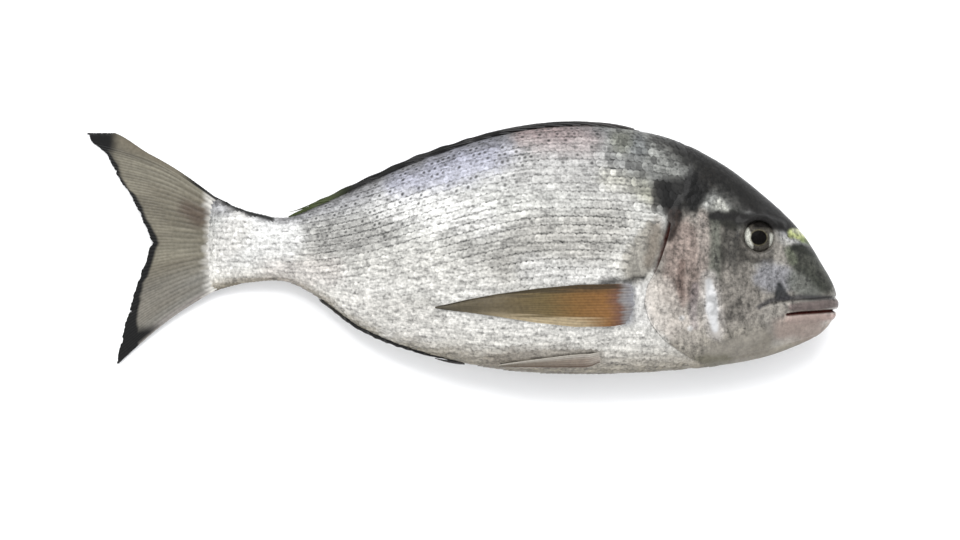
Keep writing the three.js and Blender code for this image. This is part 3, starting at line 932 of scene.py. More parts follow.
def build_head():
    piece, turn, ring = new_ball("head", 440, HEAD_RINGS)
    share, sides = sides_of(turn)
    shown = HEAD_RINGS - ROLL_RINGS - CAP_RINGS
    x = SNOUT - (SNOUT - head_rear(share)) * np.clip(ring / shown, 0, 1) ** 1.5
    upright = skin(x, lean_at(x, share))
    y = upright[:, 1]
    points = widened(upright, sides)
    move_to(piece, points)
    outward = widened(skin_normal(x, lean_at(x, share)), sides)
    normals = np.where((ring >= shown - 1)[:, None], outward, vertex_normals(piece))
    from_edge = x - gill_edge(y)
    loose = flap(y)
    lift = head_lift(x, y, share)
    lift += loose * (0.2 + 0.6 * slit(y)) * (1 - smooth(0, 7, from_edge))
    lift += (1 - loose) * (scale_bed(x, y) - 0.9 * smooth(0, -NAPE_OVERLAP, from_edge))
    rolled = np.clip((ring - shown) / ROLL_RINGS, 0, 1)
    lift -= (0.9 + 1.1 * slit(y)) * loose * (1 - np.cos(rolled * math.pi)) / 2 + 0.6 * rolled * (1 - loose)
    raised = points + normals * lift[:, None]
    raised[:, 0] += np.sin(rolled * math.pi) * -0.35 * loose + 1.6 * rolled**2 * loose
    capped = np.clip((ring - shown - ROLL_RINGS) / CAP_RINGS, 0, 1)[:, None]
    move_to(piece, laid(raised * (1 - capped) + HEAD_CORE * capped))
    paint = painted(x, y, share, TRUNK_STROKES + HEAD_STROKES + NAPE_STROKES + FACE_STROKES)
    store_paint(piece, layered(paint, (FLESH_INSIDE, np.clip(rolled * 1.6 + capped[:, 0], 0, 1))))
    store_head_grain(piece, x, y)
    shade_smooth(piece, SMOOTH_SKIN)
    finish_piece(piece, "silver_skin", WET_SKIN)


build_head()

# %% [markdown]
# ## Scales
# Each scale is a thin shingle, rooted at its front and lifted at its rear edge over the next one. A bump
# pattern would be quicker, but it has no edges for light to catch. One scale is modelled and closed
# underneath, and is then copied onto the flank row by row. Every second row is half a scale back, and
# the rows follow the fish's length, closer together towards the tail.

# %% One scale
def model_scale():
    """A closed shingle. x runs from its root, 0, to its rear edge, 1, and y across it from -1 to 1."""
    bpy.ops.object.select_all(action="DESELECT")
    bpy.ops.mesh.primitive_grid_add(x_subdivisions=4, y_subdivisions=6, size=1)
    scale = named("scale")
    bpy.ops.object.mode_set(mode="EDIT")
    bpy.ops.mesh.select_all(action="SELECT")
    bpy.ops.mesh.region_to_loop()
    bpy.ops.mesh.edge_face_add()
    bpy.ops.object.mode_set(mode="OBJECT")
    along, across, _ = (points_of(scale) + [0.5, 0, 0]).T
    across = across * 2
    rounded = along * (1 - 0.42 * np.abs(across) ** 2.2)
    corners = [list(face.vertices) for face in scale.data.polygons]
    bpy.data.objects.remove(scale)
    return rounded, across, corners


scale_along, scale_across, scale_faces = model_scale()
print("one scale:", len(scale_along), "points,", len(scale_faces), "faces")

# %% Rows of scales on a flank
ROW_HEIGHT_FRONT, ROW_HEIGHT_REAR = 3.6, 2.3
SCALE_PITCH = 0.68  # spacing along a row, in row heights
SCALE_REACH = (-1.0, 0.85)  # root and rear edge, in pitches from the scale's centre
SCALE_WIDTH = 0.74  # half width, in row heights
SCALE_TILT = (-0.5, -0.1)  # height of the root and of the rear edge
SCALE_EVENNESS = 0.45  # how far a scale is one colour
SCALE_ROWS = np.arange(-44, 36)  # the lateral line is row 0, and the back's rows are above 0
SCALES_END = body_low[0] - 2.5


def row_height(x):
    return ROW_HEIGHT_REAR + (ROW_HEIGHT_FRONT - ROW_HEIGHT_REAR) * smooth(body_low[0] - 20, 30, x)


def first_row(x):
    """The level of the lateral line, which follows the back and runs out on the middle of the tail."""
    back, _, _, widest = section_at(x)
    return widest + (back - widest) * (0.5 * smooth(-95, 40, x) + 0.03)


first_row_share = np.array([
    np.interp(first_row(x), skin(x, row)[::-1, 1], np.linspace(1, 0, ROUND_STEPS + 1))
    for x, row in zip(STATIONS, EVEN_LEAN)
])


def share_of_row(x, rows):
    """The share from the back to the belly where a row lies at x."""
    start = np.interp(x, STATIONS, first_row_share)
    return start - rows * row_height(x) / np.interp(x, STATIONS, HALF_GIRTH)


print("the lateral line starts at the share", round(first_row_share[-1], 2), "from the back")


# %% Where each scale sits, and its marks
def scale_places(rng):
    """Centres of the scales, as x and row number."""
    rows = SCALE_ROWS
    x = 112 - SCALE_PITCH * ROW_HEIGHT_FRONT / 2 * (rows % 2)
    places = []
    while x.max() > SCALES_END:
        share = share_of_row(x, rows)
        y = skin(x, lean_at(x, share))[:, 1]
        end = SCALES_END + 2.5 * (2 * share - 1) ** 2 + rng.uniform(-1.6, 1.6, len(rows))
        kept = (share > 0.01) & (share < 0.99) & (x > end)
        kept &= x < scale_front(y) + rng.uniform(-0.8, 0.8, len(rows))
        places.append(np.stack([x, rows], -1)[kept])
        x = x - SCALE_PITCH * row_height(x)
    return np.concatenate(places)


def scale_marks(x, y, share, rng):
    """How dark each scale's seam and its dot are, and how much lighter or darker it is as a whole."""
    speck = rng.normal(0, 0.05 + 0.2 * stroke(x, y, 16, [(66, 42, 4), (86, 32, 8), (96, 26, 4)]))
    grey = stroke(x, y, 16, [(60, 5, 4), (24, 2, 8), (-10, 8, 4), (-50, 6, 6)])
    patchy = 0.55 + 0.9 * cloud(x * 0.6, y * 1.4, 7)
    seam = (0.22 + 0.5 * grey + 0.25 * smooth(0.5, 0.2, share)) * (1 - 0.7 * smooth(0.65, 0.85, share))
    dot = smooth(0.4, 0.08, share) * (0.3 + 0.7 * smooth(-90, -20, x)) + 0.3 * grey + 0.08
    lucky = rng.random((2, len(x)))
    body = 0.35 + 0.65 * smooth(-92, -52, x)  # the root of the tail is plain
    lined = np.clip(body * seam * patchy * (0.3 + 1.1 * lucky[0]), 0, 0.85)
    body *= 1 - 0.55 * stroke(x, y, 14, [(72, 40, 6), (90, 32, 6)])
    dotted = np.clip(body * dot * patchy * 1.6 * lucky[1] ** 2.4, 0, 0.9)
    return lined, dotted, np.clip(speck, -0.6, 0.6)


# %% Laying the scales on a flank
def scale_mesh(name, count):
    """Copies of the one scale in one mesh, with their points still to be placed."""
    size = len(scale_along)
    firsts = range(0, count * size, size)
    faces = [[first + corner for corner in face] for first in firsts for face in scale_faces]
    mesh = bpy.data.meshes.new(name)
    mesh.from_pydata(np.zeros((count * size, 3)).tolist(), [], faces)
    return into_scene(name, mesh)


def scale_paint(x, y, share, x0, y0, share0):
    """The skin's paint, drawn part of the way to the scale's centre, so that each scale is of a piece."""
    x, y, share = (
        (whole * SCALE_EVENNESS + own * (1 - SCALE_EVENNESS)).ravel()
        for whole, own in ((x0, x), (y0, y), (share0, share))
    )
    return painted(x, y, share, TRUNK_STROKES + NAPE_STROKES + MARK_STROKES[1:])


def build_scales(name, side, seed):
    rng = np.random.default_rng(seed)
    places = scale_places(rng)
    count, size = len(places), len(scale_along)
    x0, row = places[:, 0][:, None], places[:, 1][:, None]
    pitch = SCALE_PITCH * row_height(x0)
    luck = rng.random((count, 1))
    wobble = rng.normal(0, 0.035, (count, 2))
    root, tip = SCALE_REACH
    along = root + (tip - root) * scale_along[None, :] + wobble[:, :1]
    x = x0 - along * pitch * (0.94 + 0.12 * luck)
    width = SCALE_WIDTH * (0.95 + 0.1 * rng.random((count, 1)))
    rows = row + scale_across[None, :] * width + wobble[:, 1:]
    share = share_of_row(x, rows)
    inside = np.clip(share, 0.002, 0.998)
    lean = lean_at(x, inside)
    height = SCALE_TILT[0] + (SCALE_TILT[1] - SCALE_TILT[0]) * scale_along[None, :] ** 0.8
    height = height - 0.06 * scale_across[None, :] ** 2 + rng.normal(0, 0.02, (count, 1))
    points = widened(skin(x, lean), thinned(x)) + skin_normal(x, lean) * height[..., None]
    piece = scale_mesh(name, count)
    move_to(piece, laid(points.reshape(-1, 3), side))
    if side < 0:
        piece.data.flip_normals()
    centre_share = share_of_row(x0, row)
    centre_y = skin(x0, lean_at(x0, centre_share))[..., 1]
    store_paint(piece, scale_paint(x, points[..., 1], inside, x0, centre_y, centre_share))
    marks = scale_marks(x0[:, 0], centre_y[:, 0], centre_share[:, 0], rng)
    place = np.tile(scale_along, count), np.tile(scale_across, count)
    store_three(piece, "place", *place, np.repeat(luck, size))
    store_three(piece, "marks", *(np.repeat(mark, size) for mark in marks))
    tilt = np.repeat(rng.normal(0, 0.045, (3, count)), size, axis=1)
    store_three(piece, "tilt", *tilt)
    shade_smooth(piece, SMOOTH_SCALE)
    print(name, count, "scales")
    finish_piece(piece, "silver_skin", SILVER_SCALES)


build_scales("scales_right", 1, 11)
build_scales("scales_left", -1, 12)

# %% [markdown]
# ## Eyes
# A fish's eye has no lid. It is a flattened ball: a black pupil, a silver iris and a clear cornea over
# both. A bead of glass would show the cornea, but it would also throw the lamps back over the black
# pupil. So one plain ball is painted, with only a faint shine. The top of the iris is painted dark as
# shade under the brow, and its rim as shade where the ball sinks into the socket. Its paint needs fine
# steps, or the pupil's edge would be jagged.

# %% Eye finish
def eye_finish():
    finish = Finish("eye", Roughness=0.3, IOR=1.12, Specular_IOR_Level=0.2)
    grain = finish.noise(1300, 3)
    return finish.link(Base_Color=finish.toned(finish.spread(grain, 0.3, 0.7, 0.5, 1.25)))


EYE_FINISH = eye_finish()

# %% Eyeballs
PUPIL_RADIUS, IRIS_RADIUS = 3.1, 6.6
PUPIL_BACK, PUPIL_DOWN = 1.1, 1.1  # the pupil sits off the middle of the ball
EYE_DEPTH = 4.5  # the ball is flattened from its radius to this
EYE_SEGMENTS, EYE_RINGS = 128, 96


def eye_axes(side):
    """Out of the head, towards the tail and towards the back, at the middle of the eye."""
    candidates = np.linspace(0.05, 0.95, 400)
    levels = skin(EYE_X, lean_at(np.full(400, EYE_X), candidates))[:, 1]
    share = np.interp(-EYE_Y, -levels, candidates)
    axis = skin_normal(EYE_X, lean_at(np.array(EYE_X), share)) * [1, 1, side]
    across = np.cross(axis, [0, 1, 0])
    across /= np.linalg.norm(across)
    return axis, across, np.cross(across, axis)


def eye_paint(out, backward, level):
    """Two silver crescents in a grey-brown iris, a thin warm ring and a black pupil, with painted shade at
    the iris's top and rim.
    """
    from_pupil = np.hypot(backward / 1.1, level)
    rear_bar = smooth(1.8, 0.8, np.abs(backward - 4.3 - 0.18 * level))
    rear_bar *= smooth(6.8, 5.4, level) * smooth(-5.4, -4, level)
    front_bar = smooth(1.8, 0.8, np.abs(backward + 6.2)) * smooth(2.6, 1.2, level) * smooth(-4.8, -3.4, level)
    return PAINT_LEVEL * layered(
        linear((94, 90, 83)),
        # Painted shade: the top of the iris, under the brow.
        ((32, 30, 28), smooth(3, 5, level) * smooth(3, 1, backward)),
        ((240, 240, 228), np.maximum(rear_bar, 0.9 * front_bar)),
        ((150, 142, 92), 0.3 * smooth(PUPIL_RADIUS + 0.5, PUPIL_RADIUS + 0.1, from_pupil)),
        # Painted shade: the rim where the ball sinks into its socket.
        ((84, 81, 76), smooth(IRIS_RADIUS - 0.3, IRIS_RADIUS + 0.1, out)),
        ((24, 23, 22), smooth(PUPIL_RADIUS + 0.2, PUPIL_RADIUS - 0.2, from_pupil)),
    )


# %% Building the eyeballs
def build_eye(name, side, node):
    piece, turn, ring = new_ball(name, EYE_SEGMENTS, EYE_RINGS)
    low, high = cad_box(node)
    axis, across, up = eye_axes(side)
    polar = ring / EYE_RINGS * math.pi
    out = EYE_RADIUS * np.sin(polar)
    backward, level = out * np.cos(2 * math.pi * turn), out * np.sin(2 * math.pi * turn)
    points = (low + high) / 2 + np.outer(EYE_DEPTH * np.cos(polar), axis) + np.outer(backward, across)
    move_to(piece, points + np.outer(level, up))
    store_paint(piece, eye_paint(out, backward - PUPIL_BACK, level + PUPIL_DOWN))
    shade_smooth(piece)
    finish_piece(piece, "eye", EYE_FINISH, node)


build_eye("right_eyeball", 1, "right_eye")
build_eye("left_eyeball", -1, "left_eye")

# %% [markdown]
# ## Fins
# A fin is a fan of bony rays joined by membrane. Rays are round and split in two again and again
# towards the edge. Rays made one by one would have to be joined at every fork. So each fin starts as a
# fine grid, the rays are ridges pushed out of it, its outline follows its own lines, and a thickness
# closes it.

# %% Fin finish
def fin_finish(name, roughness):
    finish = Finish(name, Specular_IOR_Level=0.15, Coat_Weight=0.06, Coat_Roughness=0.12)
    ray = finish.attribute("ray", "Fac")
    grain = finish.noise(700, 4)
    tone = 0.87 + 0.22 * ray + finish.swing(grain, 0.16)
    return finish.link(
        Base_Color=finish.toned(tone),
        Roughness=roughness + 0.2 * grain,
        Normal=finish.bump(grain, 0.0002, 0.5),
    )


GREY_FIN = fin_finish("grey_fin", 0.32)
DARK_FIN = fin_finish("dark_fin", 0.3)
AMBER_FIN = fin_finish("amber_fin", 0.22)
print("fin finishes:", GREY_FIN.name, DARK_FIN.name, AMBER_FIN.name)


def ray_ridges(across, back, rays, splits=(0.3, 0.62)):
    """From 0 in the membrane to 1 on top of a ray. The rays split in two at each of the splits."""
    ridge = np.cos(across * rays * 2 * math.pi)
    for i, start in enumerate(splits):
        finer = np.cos(across * rays * 2 ** (i + 1) * 2 * math.pi + math.pi)
        share = smooth(start, start + 0.16, back)
        ridge = ridge * (1 - share) + finer * share
    return 0.5 + 0.5 * ridge


# %% [markdown]
# ## The tail fin
# It is a forked fan with a black margin, frayed at the edge by use. Cutting the fork out of a plain fan
# would leave stepped edges, so the grid is stretched from the root to the edge and the rays spread with it.

# %% The tail fin's outline
TAIL_ROOT = body_low[0]
UPPER_TIP = np.array([tail_low[0], tail_high[1]])
LOWER_TIP = np.array([tail_low[0] + 13.7, tail_low[1]])
FORK = np.array([tail_low[0] + 28.6, 2.4])
TAIL_RAYS = 17
TAIL_JOINTS = 46  # the rays are jointed like bamboo
TAIL_HALF_ROOT, TAIL_HALF_EDGE = 1.5, 0.34  # half the thickness that the rays' relief goes by
print("tail fin, mm: upper tip", (TAIL_ROOT - UPPER_TIP[0]).round(1), "behind the root")
print("and its fork", (TAIL_ROOT - FORK[0]).round(1))


def tail_edge(across, upper, out):
    """The rear edge of the fin. out runs from the fork, 0, to the tips, 1."""
    tip = np.where(upper[:, None], UPPER_TIP, LOWER_TIP)
    hooked = smooth(0.93, 1, out) * upper  # the upper tip ends in a short blunt edge
    end = FORK + (tip - [0, 2.6] * upper[:, None] - FORK) * np.minimum(out / 0.95, 1)[:, None]
    end[:, 0] += np.sin(math.pi * out) * np.where(upper, 3.5, -1.8) + 2.6 * upper * bell(out, 0.82, 0.13)
    end[:, 1] += 2.6 * hooked
    frayed = 0.8 * (cloud(across * 44, across * 0, 1) - 0.5)
    frayed = frayed + 0.4 * (cloud(across * 130, across * 0, 1) - 0.5)
    nicks = 3.0 * bell(across, 0.228, 0.0045) + 0.7 * bell(across, 0.83, 0.004)
    return end, hooked, (frayed + nicks) * (1 - smooth(0.93, 1, out))


def tail_outline(across, back, upper, out):
    """x and y of the fin's points, seen from the side, and x of its rear edge."""
    end, hooked, nibbled = tail_edge(across, upper, out)
    root_back, root_belly, _, _ = section_at(np.array(TAIL_ROOT))
    root_x = TAIL_ROOT + 4.5 - 4.3 * np.abs(2 * across - 1) ** 2
    root_y = root_belly + (root_back - root_belly) * (0.02 + 0.96 * across)
    x = root_x + (end[:, 0] - root_x) * back + nibbled * smooth(0.9, 1, back)
    bow = np.sin(math.pi * back) * np.where(upper, 4.5, 2.4) * np.abs(2 * across - 1)
    y = root_y + (end[:, 1] - root_y) * back + bow
    y = np.minimum(y + hooked * 3.4 * smooth(0.5, 0.8, back), UPPER_TIP[1] - 0.1)
    return x, y, end[:, 0]


def tail_relief(across, back, ridge):
    """The rays, their joints and a slow wave, as a distance from the fin's middle."""
    joints = 0.5 + 0.5 * np.cos(back * TAIL_JOINTS * math.pi * 2)
    half = TAIL_HALF_ROOT + (TAIL_HALF_EDGE - TAIL_HALF_ROOT) * np.sqrt(back)
    wave = 0.35 * np.sin(across * 9 + back * 2.5) * back
    return wave + ((0.1 * half + 0.08) * (ridge - 0.5) - 0.03 * joints * ridge * smooth(0.2, 0.5, back))


# %% The tail fin's black margin and its paint
def tail_black(x, y, edge_x, across, back, upper, out):
    """1 in the black margin, in both tips and along the upper edge."""
    band = np.where(upper, np.interp(out, [0, 0.5, 0.8, 1], [2.4, 1.8, 2.6, 4]),
                    np.interp(out, [0, 0.4, 0.6, 0.75, 0.9], [2.6, 3.4, 4.8, 7, 9]))
    margin = smooth(0.9, -0.9, np.abs(edge_x - x) - band + (cloud(across * 36, back * 3, 1) - 0.5) * 1.6)
    tips = smooth(-145, -151, x + 3 * (cloud(across * 40, back, 1) - 0.5)) * upper
    lower_tip = smooth(-31, -37, y + 3 * (cloud(across * 30, back, 1) - 0.5)) * (1 - upper)
    tips += lower_tip * smooth(1, 0.9, out)
    upper_line = 0.95 * smooth(0.86, 0.94, out) * upper * smooth(-122, -112, x)
    return np.maximum(np.maximum(margin, tips), upper_line)


def tail_paint(x, y, across, back, upper, out, black):
    streaks = 0.46 + 0.7 * cloud(across * 17, back * 1.2, 1) + 0.38 * cloud(across * 52, back * 2, 1)
    bruise = stroke(x, y, 6, [(-107, 15, 0.5), (-111, 13.4, 1.5), (-117, 17, 0)])
    return PAINT_LEVEL * layered(
        linear((137, 132, 117)) * streaks[:, None],
        ((160, 159, 155), 0.5 * (1 - upper) * smooth(0.1, 0.6, out)),
        ((98, 86, 70), 0.6 * cloud(across * 13 + 5, back * 1.6, 1) ** 2),
        ((90, 74, 64), 0.75 * bruise),
        # Painted shade: a grey band along the lower lobe's outer edge.
        ((160, 153, 150), 0.5 * smooth(0.12, 0, np.abs(out - 0.93)) * (1 - upper)),
        ((226, 223, 216), smooth(-111, -106, x + 2.4 * lumps(x * 0.4, y, 3))),
        ((6, 6, 6), black),
    )


# %% Building the tail fin
def build_tail():
    piece, back, across = new_sheet("tail_rays", 110, 330)
    upper = across > 0.5
    out = np.abs(across - 0.5) * 2
    x, y, edge_x = tail_outline(across, back, upper, out)
    ridge = ray_ridges(across, back, TAIL_RAYS)
    outer_ray = smooth(0.9, 0.97, out)
    ridge = np.maximum(ridge * (1 - 0.6 * outer_ray), outer_ray)
    move_to(piece, laid(np.stack([x, y, tail_relief(across, back, ridge)], -1)))
    store_ray(piece, ridge)
    black = tail_black(x, y, edge_x, across, back, upper, out)
    store_paint(piece, tail_paint(x, y, across, back, upper, out, black))
    thicken(piece, 0.7)
    shade_smooth(piece)
    finish_piece(piece, "grey_fin", GREY_FIN, "tail_fin")


build_tail()

# %% [markdown]
# ## Fins on the flank and the belly
# Folded, the long pectoral fin lies along the flank and the pelvic fin along the belly. Shrinkwrap could
# press a flat fin onto the skin, but it would flatten the rays too. Each point is put at its own height
# over the skin instead.

# %% Laying a fin on the flank
PECTORAL_TIP_X, PECTORAL_ROOT_X = (corner[0] for corner in cad_box("right_pectoral_fin"))
PECTORAL_OUTLINE = np.array([
    # share from the root to the tip, upper edge, lower edge
    [0, -15.2, -31.6], [0.1, -15.0, -32.6], [0.3, -15.4, -33.0], [0.5, -17.0, -31.2], [0.7, -19.4, -28.6],
    [0.85, -21.8, -26.9], [0.95, -23.9, -25.9], [1, -24.8, -25.2],
])
print("pectoral fin, mm: from", PECTORAL_ROOT_X.round(1), "back to", PECTORAL_TIP_X.round(1))
PECTORAL_SHARES = [0, 0.06, 0.11, 0.14, 0.2, 0.34, 0.48, 0.7, 1]
PECTORAL_COLOURS = linear([
    (176, 176, 179), (160, 160, 165), (152, 146, 144), (130, 94, 78), (150, 106, 60), (140, 104, 59),
    (122, 104, 68), (118, 106, 82), (92, 86, 72),
])


def share_at_level(x, y):
    """The share from the back to the belly where the skin at x has the level y."""
    low, high = np.zeros_like(x), np.ones_like(x)
    for _ in range(26):
        middle = (low + high) / 2
        above = skin(x, lean_at(x, middle))[..., 1] > y
        low, high = np.where(above, middle, low), np.where(above, high, middle)
    return (low + high) / 2


def on_flank(x, y, height, side):
    """Points at a height over the skin, laid down with the fish."""
    lean = lean_at(x, share_at_level(x, y))
    return laid(skin(x, lean) + skin_normal(x, lean) * np.asarray(height)[..., None], side)


# %% Pectoral fins
def pectoral_paint(x, y, across, back):
    """Grey at the root, then red, amber and olive, with a dark upper edge and a pale lower one."""
    streak = cloud(x * 0.07, y * 1.5, 1) - 0.5
    turned = back + 0.045 * np.abs(2 * across - 1.3) ** 1.5 + 0.03 * streak
    high_edge = smooth(0.78, 0.98, across + streak * 0.2) * 0.85 * smooth(0.06, 0.14, back)
    low_edge = smooth(0.3, 0.05, across + streak * 0.25) * smooth(0.12, 0.3, back) * smooth(0.85, 0.5, back)
    return PAINT_LEVEL * layered(
        np.stack([np.interp(turned, PECTORAL_SHARES, tint) for tint in PECTORAL_COLOURS.T], -1),
        ((64, 56, 42), high_edge),
        ((204, 186, 152), 0.85 * low_edge),
    )


def build_pectoral(name, side, node):
    piece, along, across = new_sheet(name, 150, 96)
    across = 1 - across if side < 0 else across
    back = 1 - along
    front = PECTORAL_ROOT_X + 4.5 + 2 * across - 4 * np.abs(2 * across - 1) ** 3
    front += 1.6 * lumps(across * 30, back * 0, 3)
    x = front - (front - PECTORAL_TIP_X) * back
    top, bottom = (np.interp(back, PECTORAL_OUTLINE[:, 0], PECTORAL_OUTLINE[:, c]) for c in (1, 2))
    y = bottom + (top - bottom) * across
    ridge = ray_ridges(across, back, 15, (0.5, 0.9))
    first_ray = smooth(0.93, 0.985, across)
    ridge = np.maximum(ridge, first_ray)
    rooted = smooth(0, 0.13, back)  # the fin rises out of the skin at its root
    height = 0.55 + 0.1 * ridge * (1 - 0.6 * back) + 0.35 * first_ray * (1 - 0.5 * back)
    height += 0.5 * bell(back, 0.15, 0.08) + 0.2 * np.sin(across * 7 + back * 5)
    if side < 0:
        height = np.minimum(height, 0.9)  # the fish lies on this fin
    move_to(piece, on_flank(x, y, height * rooted - 0.8 * (1 - rooted), side))
    store_ray(piece, ridge)
    store_paint(piece, pectoral_paint(x, y, across, back))
    thicken(piece, 0.35)
    shade_smooth(piece)
    finish_piece(piece, "amber_fin", AMBER_FIN, node)


build_pectoral("right_pectoral_rays", 1, "right_pectoral_fin")
build_pectoral("left_pectoral_rays", -1, "left_pectoral_fin")

# %% Pelvic fins
PELVIC_TIP_X, PELVIC_ROOT_X = (corner[0] for corner in cad_box("right_pelvic_fin"))


def build_pelvic(name, side, node):
    piece, along, across = new_sheet(name, 90, 48)
    across = 1 - across if side < 0 else across
    back = 1 - along
    x = PELVIC_ROOT_X - (PELVIC_ROOT_X - PELVIC_TIP_X) * back
    middle = -46.2 - 3.0 * back**0.8
    breadth = 5.2 * (1 - back**1.6) * (0.75 + 0.25 * smooth(0, 0.2, back)) + 0.5
    y = middle + (across - 0.5) * breadth
    ridge = np.maximum(ray_ridges(across, back, 6, (0.45,)), smooth(0.86, 0.97, across))
    rooted = smooth(0, 0.12, back)
    height = 0.5 + 0.22 * ridge * (1 - 0.5 * back) + 0.4 * bell(back, 0.15, 0.1)
    move_to(piece, on_flank(x, y, height * rooted - 0.5 * (1 - rooted), side))
    store_ray(piece, ridge)
    store_paint(piece, PAINT_LEVEL * layered(
        linear((166, 150, 136)),
        ((138, 129, 115), back),
        ((200, 190, 178), smooth(0.2, 0.0, back)),
        ((206, 200, 189), smooth(0.5, 0.95, across) * 0.85),
        # Painted shade: dark brown along the lower edge, where the fin follows the belly under.
        ((104, 84, 70), smooth(0.35, 0.0, across) * 0.8),
    ))
    thicken(piece, 0.4)
    shade_smooth(piece)
    finish_piece(piece, "grey_fin", GREY_FIN, node)


build_pelvic("right_pelvic_rays", 1, "right_pelvic_fin")
build_pelvic("left_pelvic_rays", -1, "left_pelvic_fin")

# %% [markdown]
# ## Folded fins on the back and under the tail
# Folded down, the spines lie on one another like the ribs of a shut fan, with the crumpled membrane
# between them. Bare ridges on the back would look carved from it. So each spine is a tapered cone, modelled
# once, copied and bent along the back's own line.

# %% Spines along a ridge
def ridge_line(x, up):
    back, belly, _, _ = section_at(x)
    return back if up > 0 else belly


def model_spine():
    """A tapered spine along z, from -0.5 at its root to 0.5 at its point."""
    bpy.ops.object.select_all(action="DESELECT")
    bpy.ops.mesh.primitive_cone_add(vertices=8, radius1=1, radius2=0.16, depth=1, end_fill_type="NGON")
    spine = named("spine")
    bpy.ops.object.mode_set(mode="EDIT")
    bpy.ops.mesh.select_all(action="SELECT")
    bpy.ops.mesh.subdivide(number_cuts=5)
    bpy.ops.object.mode_set(mode="OBJECT")
    return spine


def build_spine(pattern, root_x, length, radius, lift, up, lean_out):
    spine = into_scene("spine", pattern.data.copy())
    across, high, along = points_of(spine).T
    back = along + 0.5
    x = root_x - back * length
    rise = lift * np.sin(np.clip(back, 0, 1) * math.pi * 0.55) ** 0.8
    y = ridge_line(x, up) + up * (rise - 0.5 + high * radius)
    points = np.stack([x, y, lean_out * back + across * radius], -1)
    move_to(spine, laid(points))
    return spine


# %% The membrane, and the spines and rays in it
SPINE_REACH, RAY_REACH = 0.56, 0.36  # shares of the fin's length along which they are rooted
DORSAL_LENGTH = 149  # the length that the spines' own length is given for


def build_membrane(name, front, rear, up, height):
    piece, along, across = new_sheet(name, 200, 14)
    x = rear + (front - rear) * along
    swell = np.minimum(np.sin(math.pi * np.clip(along, 0.001, 0.999) ** 0.5), 0.9)
    top = (height * swell + 0.35) * (1 + 0.08 * np.sin(along * 90))
    y = ridge_line(x, up) + up * (across * top * 0.9 - 0.6)
    sway = (0.5 * np.sin(along * 46) + 0.25 * np.sin(along * 117 + 1)) * across * swell
    move_to(piece, laid(np.stack([x, y, sway], -1)))
    thicken(piece, 0.8)
    return piece


def build_spines(front, rear, up, spines, rays, height):
    parts = []
    pattern = model_spine()
    rng = np.random.default_rng(5)
    span = front - rear
    for i in range(spines):
        root = front - 2 - i * span * SPINE_REACH / spines
        size = 0.55 + 0.45 * math.sin(math.pi * min(1, (i + 1.5) / spines))
        lean = rng.uniform(-0.7, 0.7)
        length = 30 * size * span / DORSAL_LENGTH
        parts.append(build_spine(pattern, root, length, 0.75 * size + 0.2, height * 0.75 * size, up, lean))
    for i in range(rays):
        root = front - 2 - span * SPINE_REACH - i * span * RAY_REACH / rays
        size = min(1, (root - rear) / 14)
        lean = rng.uniform(-0.8, 0.8)
        parts.append(build_spine(pattern, root, 13 * size + 1.5, 0.5, height * 0.8 * size, up, lean))
    bpy.data.objects.remove(pattern)
    return parts


# %% Building the folded fins
def build_ridge_fin(name, node, up, spines, rays, height):
    """A folded fin: a crumpled membrane, with its spines at the front and its soft rays behind."""
    low, high = cad_box(node)
    front, rear = high[0], low[0]
    span = front - rear
    membrane = build_membrane(name, front, rear, up, height)
    whole = joined([membrane, *build_spines(front, rear, up, spines, rays, height)], name)
    points = points_of(whole) / MM
    x, y = points[:, 0], points[:, 1]
    proud = np.clip(up * (y - ridge_line(x, up)) / max(height, 1), 0, 1)
    rear_colour = (74, 84, 46) if up > 0 else (60, 58, 54)
    store_paint(whole, PAINT_LEVEL * layered(
        linear((30, 30, 30)),
        (rear_colour, smooth(front - 0.8 * span, rear + 0.1 * span, x)),
        ((104, 100, 96), 0.3 * cloud(x * 0.3, y, 1.4) * proud),
        ((110, 106, 104), smooth(front - 0.25 * span, front, x) * 0.5),
    ))
    store_ray(whole, 0.5 + 0.5 * proud)
    shade_smooth(whole)
    finish_piece(whole, "dark_fin", DARK_FIN, node)


build_ridge_fin("dorsal_spines", "dorsal_fin", 1, 11, 13, 2.9)
build_ridge_fin("anal_spines", "anal_fin", -1, 3, 11, 1.9)

# %% [markdown]
# ## Light, floor and camera
# The fish lies on a plain pale floor. One large soft lamp and a bright sky light the floor past white, so
# that only the shadow under the fish shows, and a small lamp gives wet sparkle. A hard sun would be
# simpler, but would leave one hard shadow. The camera looks straight down with a long lens.

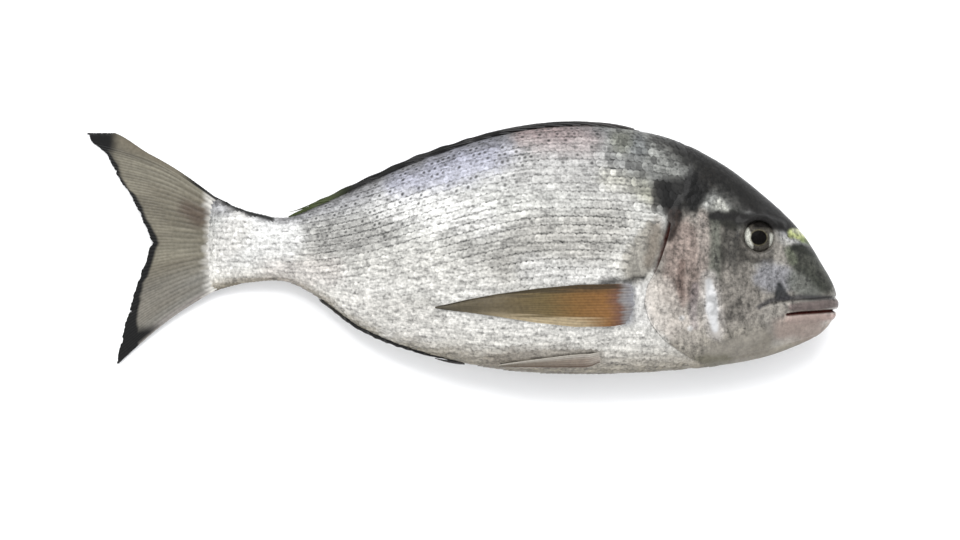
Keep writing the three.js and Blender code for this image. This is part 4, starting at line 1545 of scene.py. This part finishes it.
# %% Floor
def build_floor():
    bpy.ops.object.select_all(action="DESELECT")
    bpy.ops.mesh.primitive_plane_add(size=6)
    floor = named("floor")
    finish = Finish("pale_floor", Roughness=0.6)
    haze = finish.noise(1.5, 2)
    floor.data.materials.append(finish.link(Base_Color=finish.grey(0.9 + 0.03 * haze)))
    floor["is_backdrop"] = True


build_floor()
print("floor made")

# %% Lamps and sky
def add_lamp(name, place, target, size, power):
    lamp = bpy.data.lights.new(name, "AREA")
    lamp.shape = "DISK"
    lamp.size = size
    lamp.energy = power
    holder = into_scene(name, lamp)
    holder.location = place
    holder.rotation_euler = (Vector(target) - Vector(place)).to_track_quat("-Z", "Y").to_euler()


add_lamp("key_lamp", (-0.2, 1.8, 1.9), (0, 0, 0), 2.6, 76)
add_lamp("sparkle_lamp", (-0.5, 0.8, 1.6), (0, 0, 0), 0.2, 3)
world = bpy.data.worlds.new("studio")
world.use_nodes = True
world.node_tree.nodes["Background"].inputs["Color"].default_value = (0.97, 0.98, 1, 1)
world.node_tree.nodes["Background"].inputs["Strength"].default_value = 1.2
bpy.context.scene.world = world
bpy.context.scene.view_settings.view_transform = "Standard"
print("lamps:", [light.name for light in bpy.data.lights])

# %% Camera
VIEW_WIDTH = 407.4
VIEW_CENTRE = (8.5, -9.3, REST_HEIGHT)
LENS, SENSOR = 200, 36

camera = into_scene("camera", bpy.data.cameras.new("camera"))
camera.data.lens = LENS
camera.data.sensor_width = SENSOR
away = VIEW_WIDTH * LENS / SENSOR
camera.location = (VIEW_CENTRE[0] * MM, VIEW_CENTRE[1] * MM, (VIEW_CENTRE[2] + away) * MM)
bpy.context.scene.camera = camera
print("the camera looks straight down from, mm:", round(VIEW_CENTRE[2] + away))

# %% [markdown]
# ## Closing
# The visual model has to keep the CAD model's size, so both boxes are kept side by side.

# %% Size and finish
size = {"cad": cad_bounds, "visual": [list(corner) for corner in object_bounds()]}
print("visual box, mm:", [[round(v / MM, 1) for v in corner] for corner in size["visual"]])
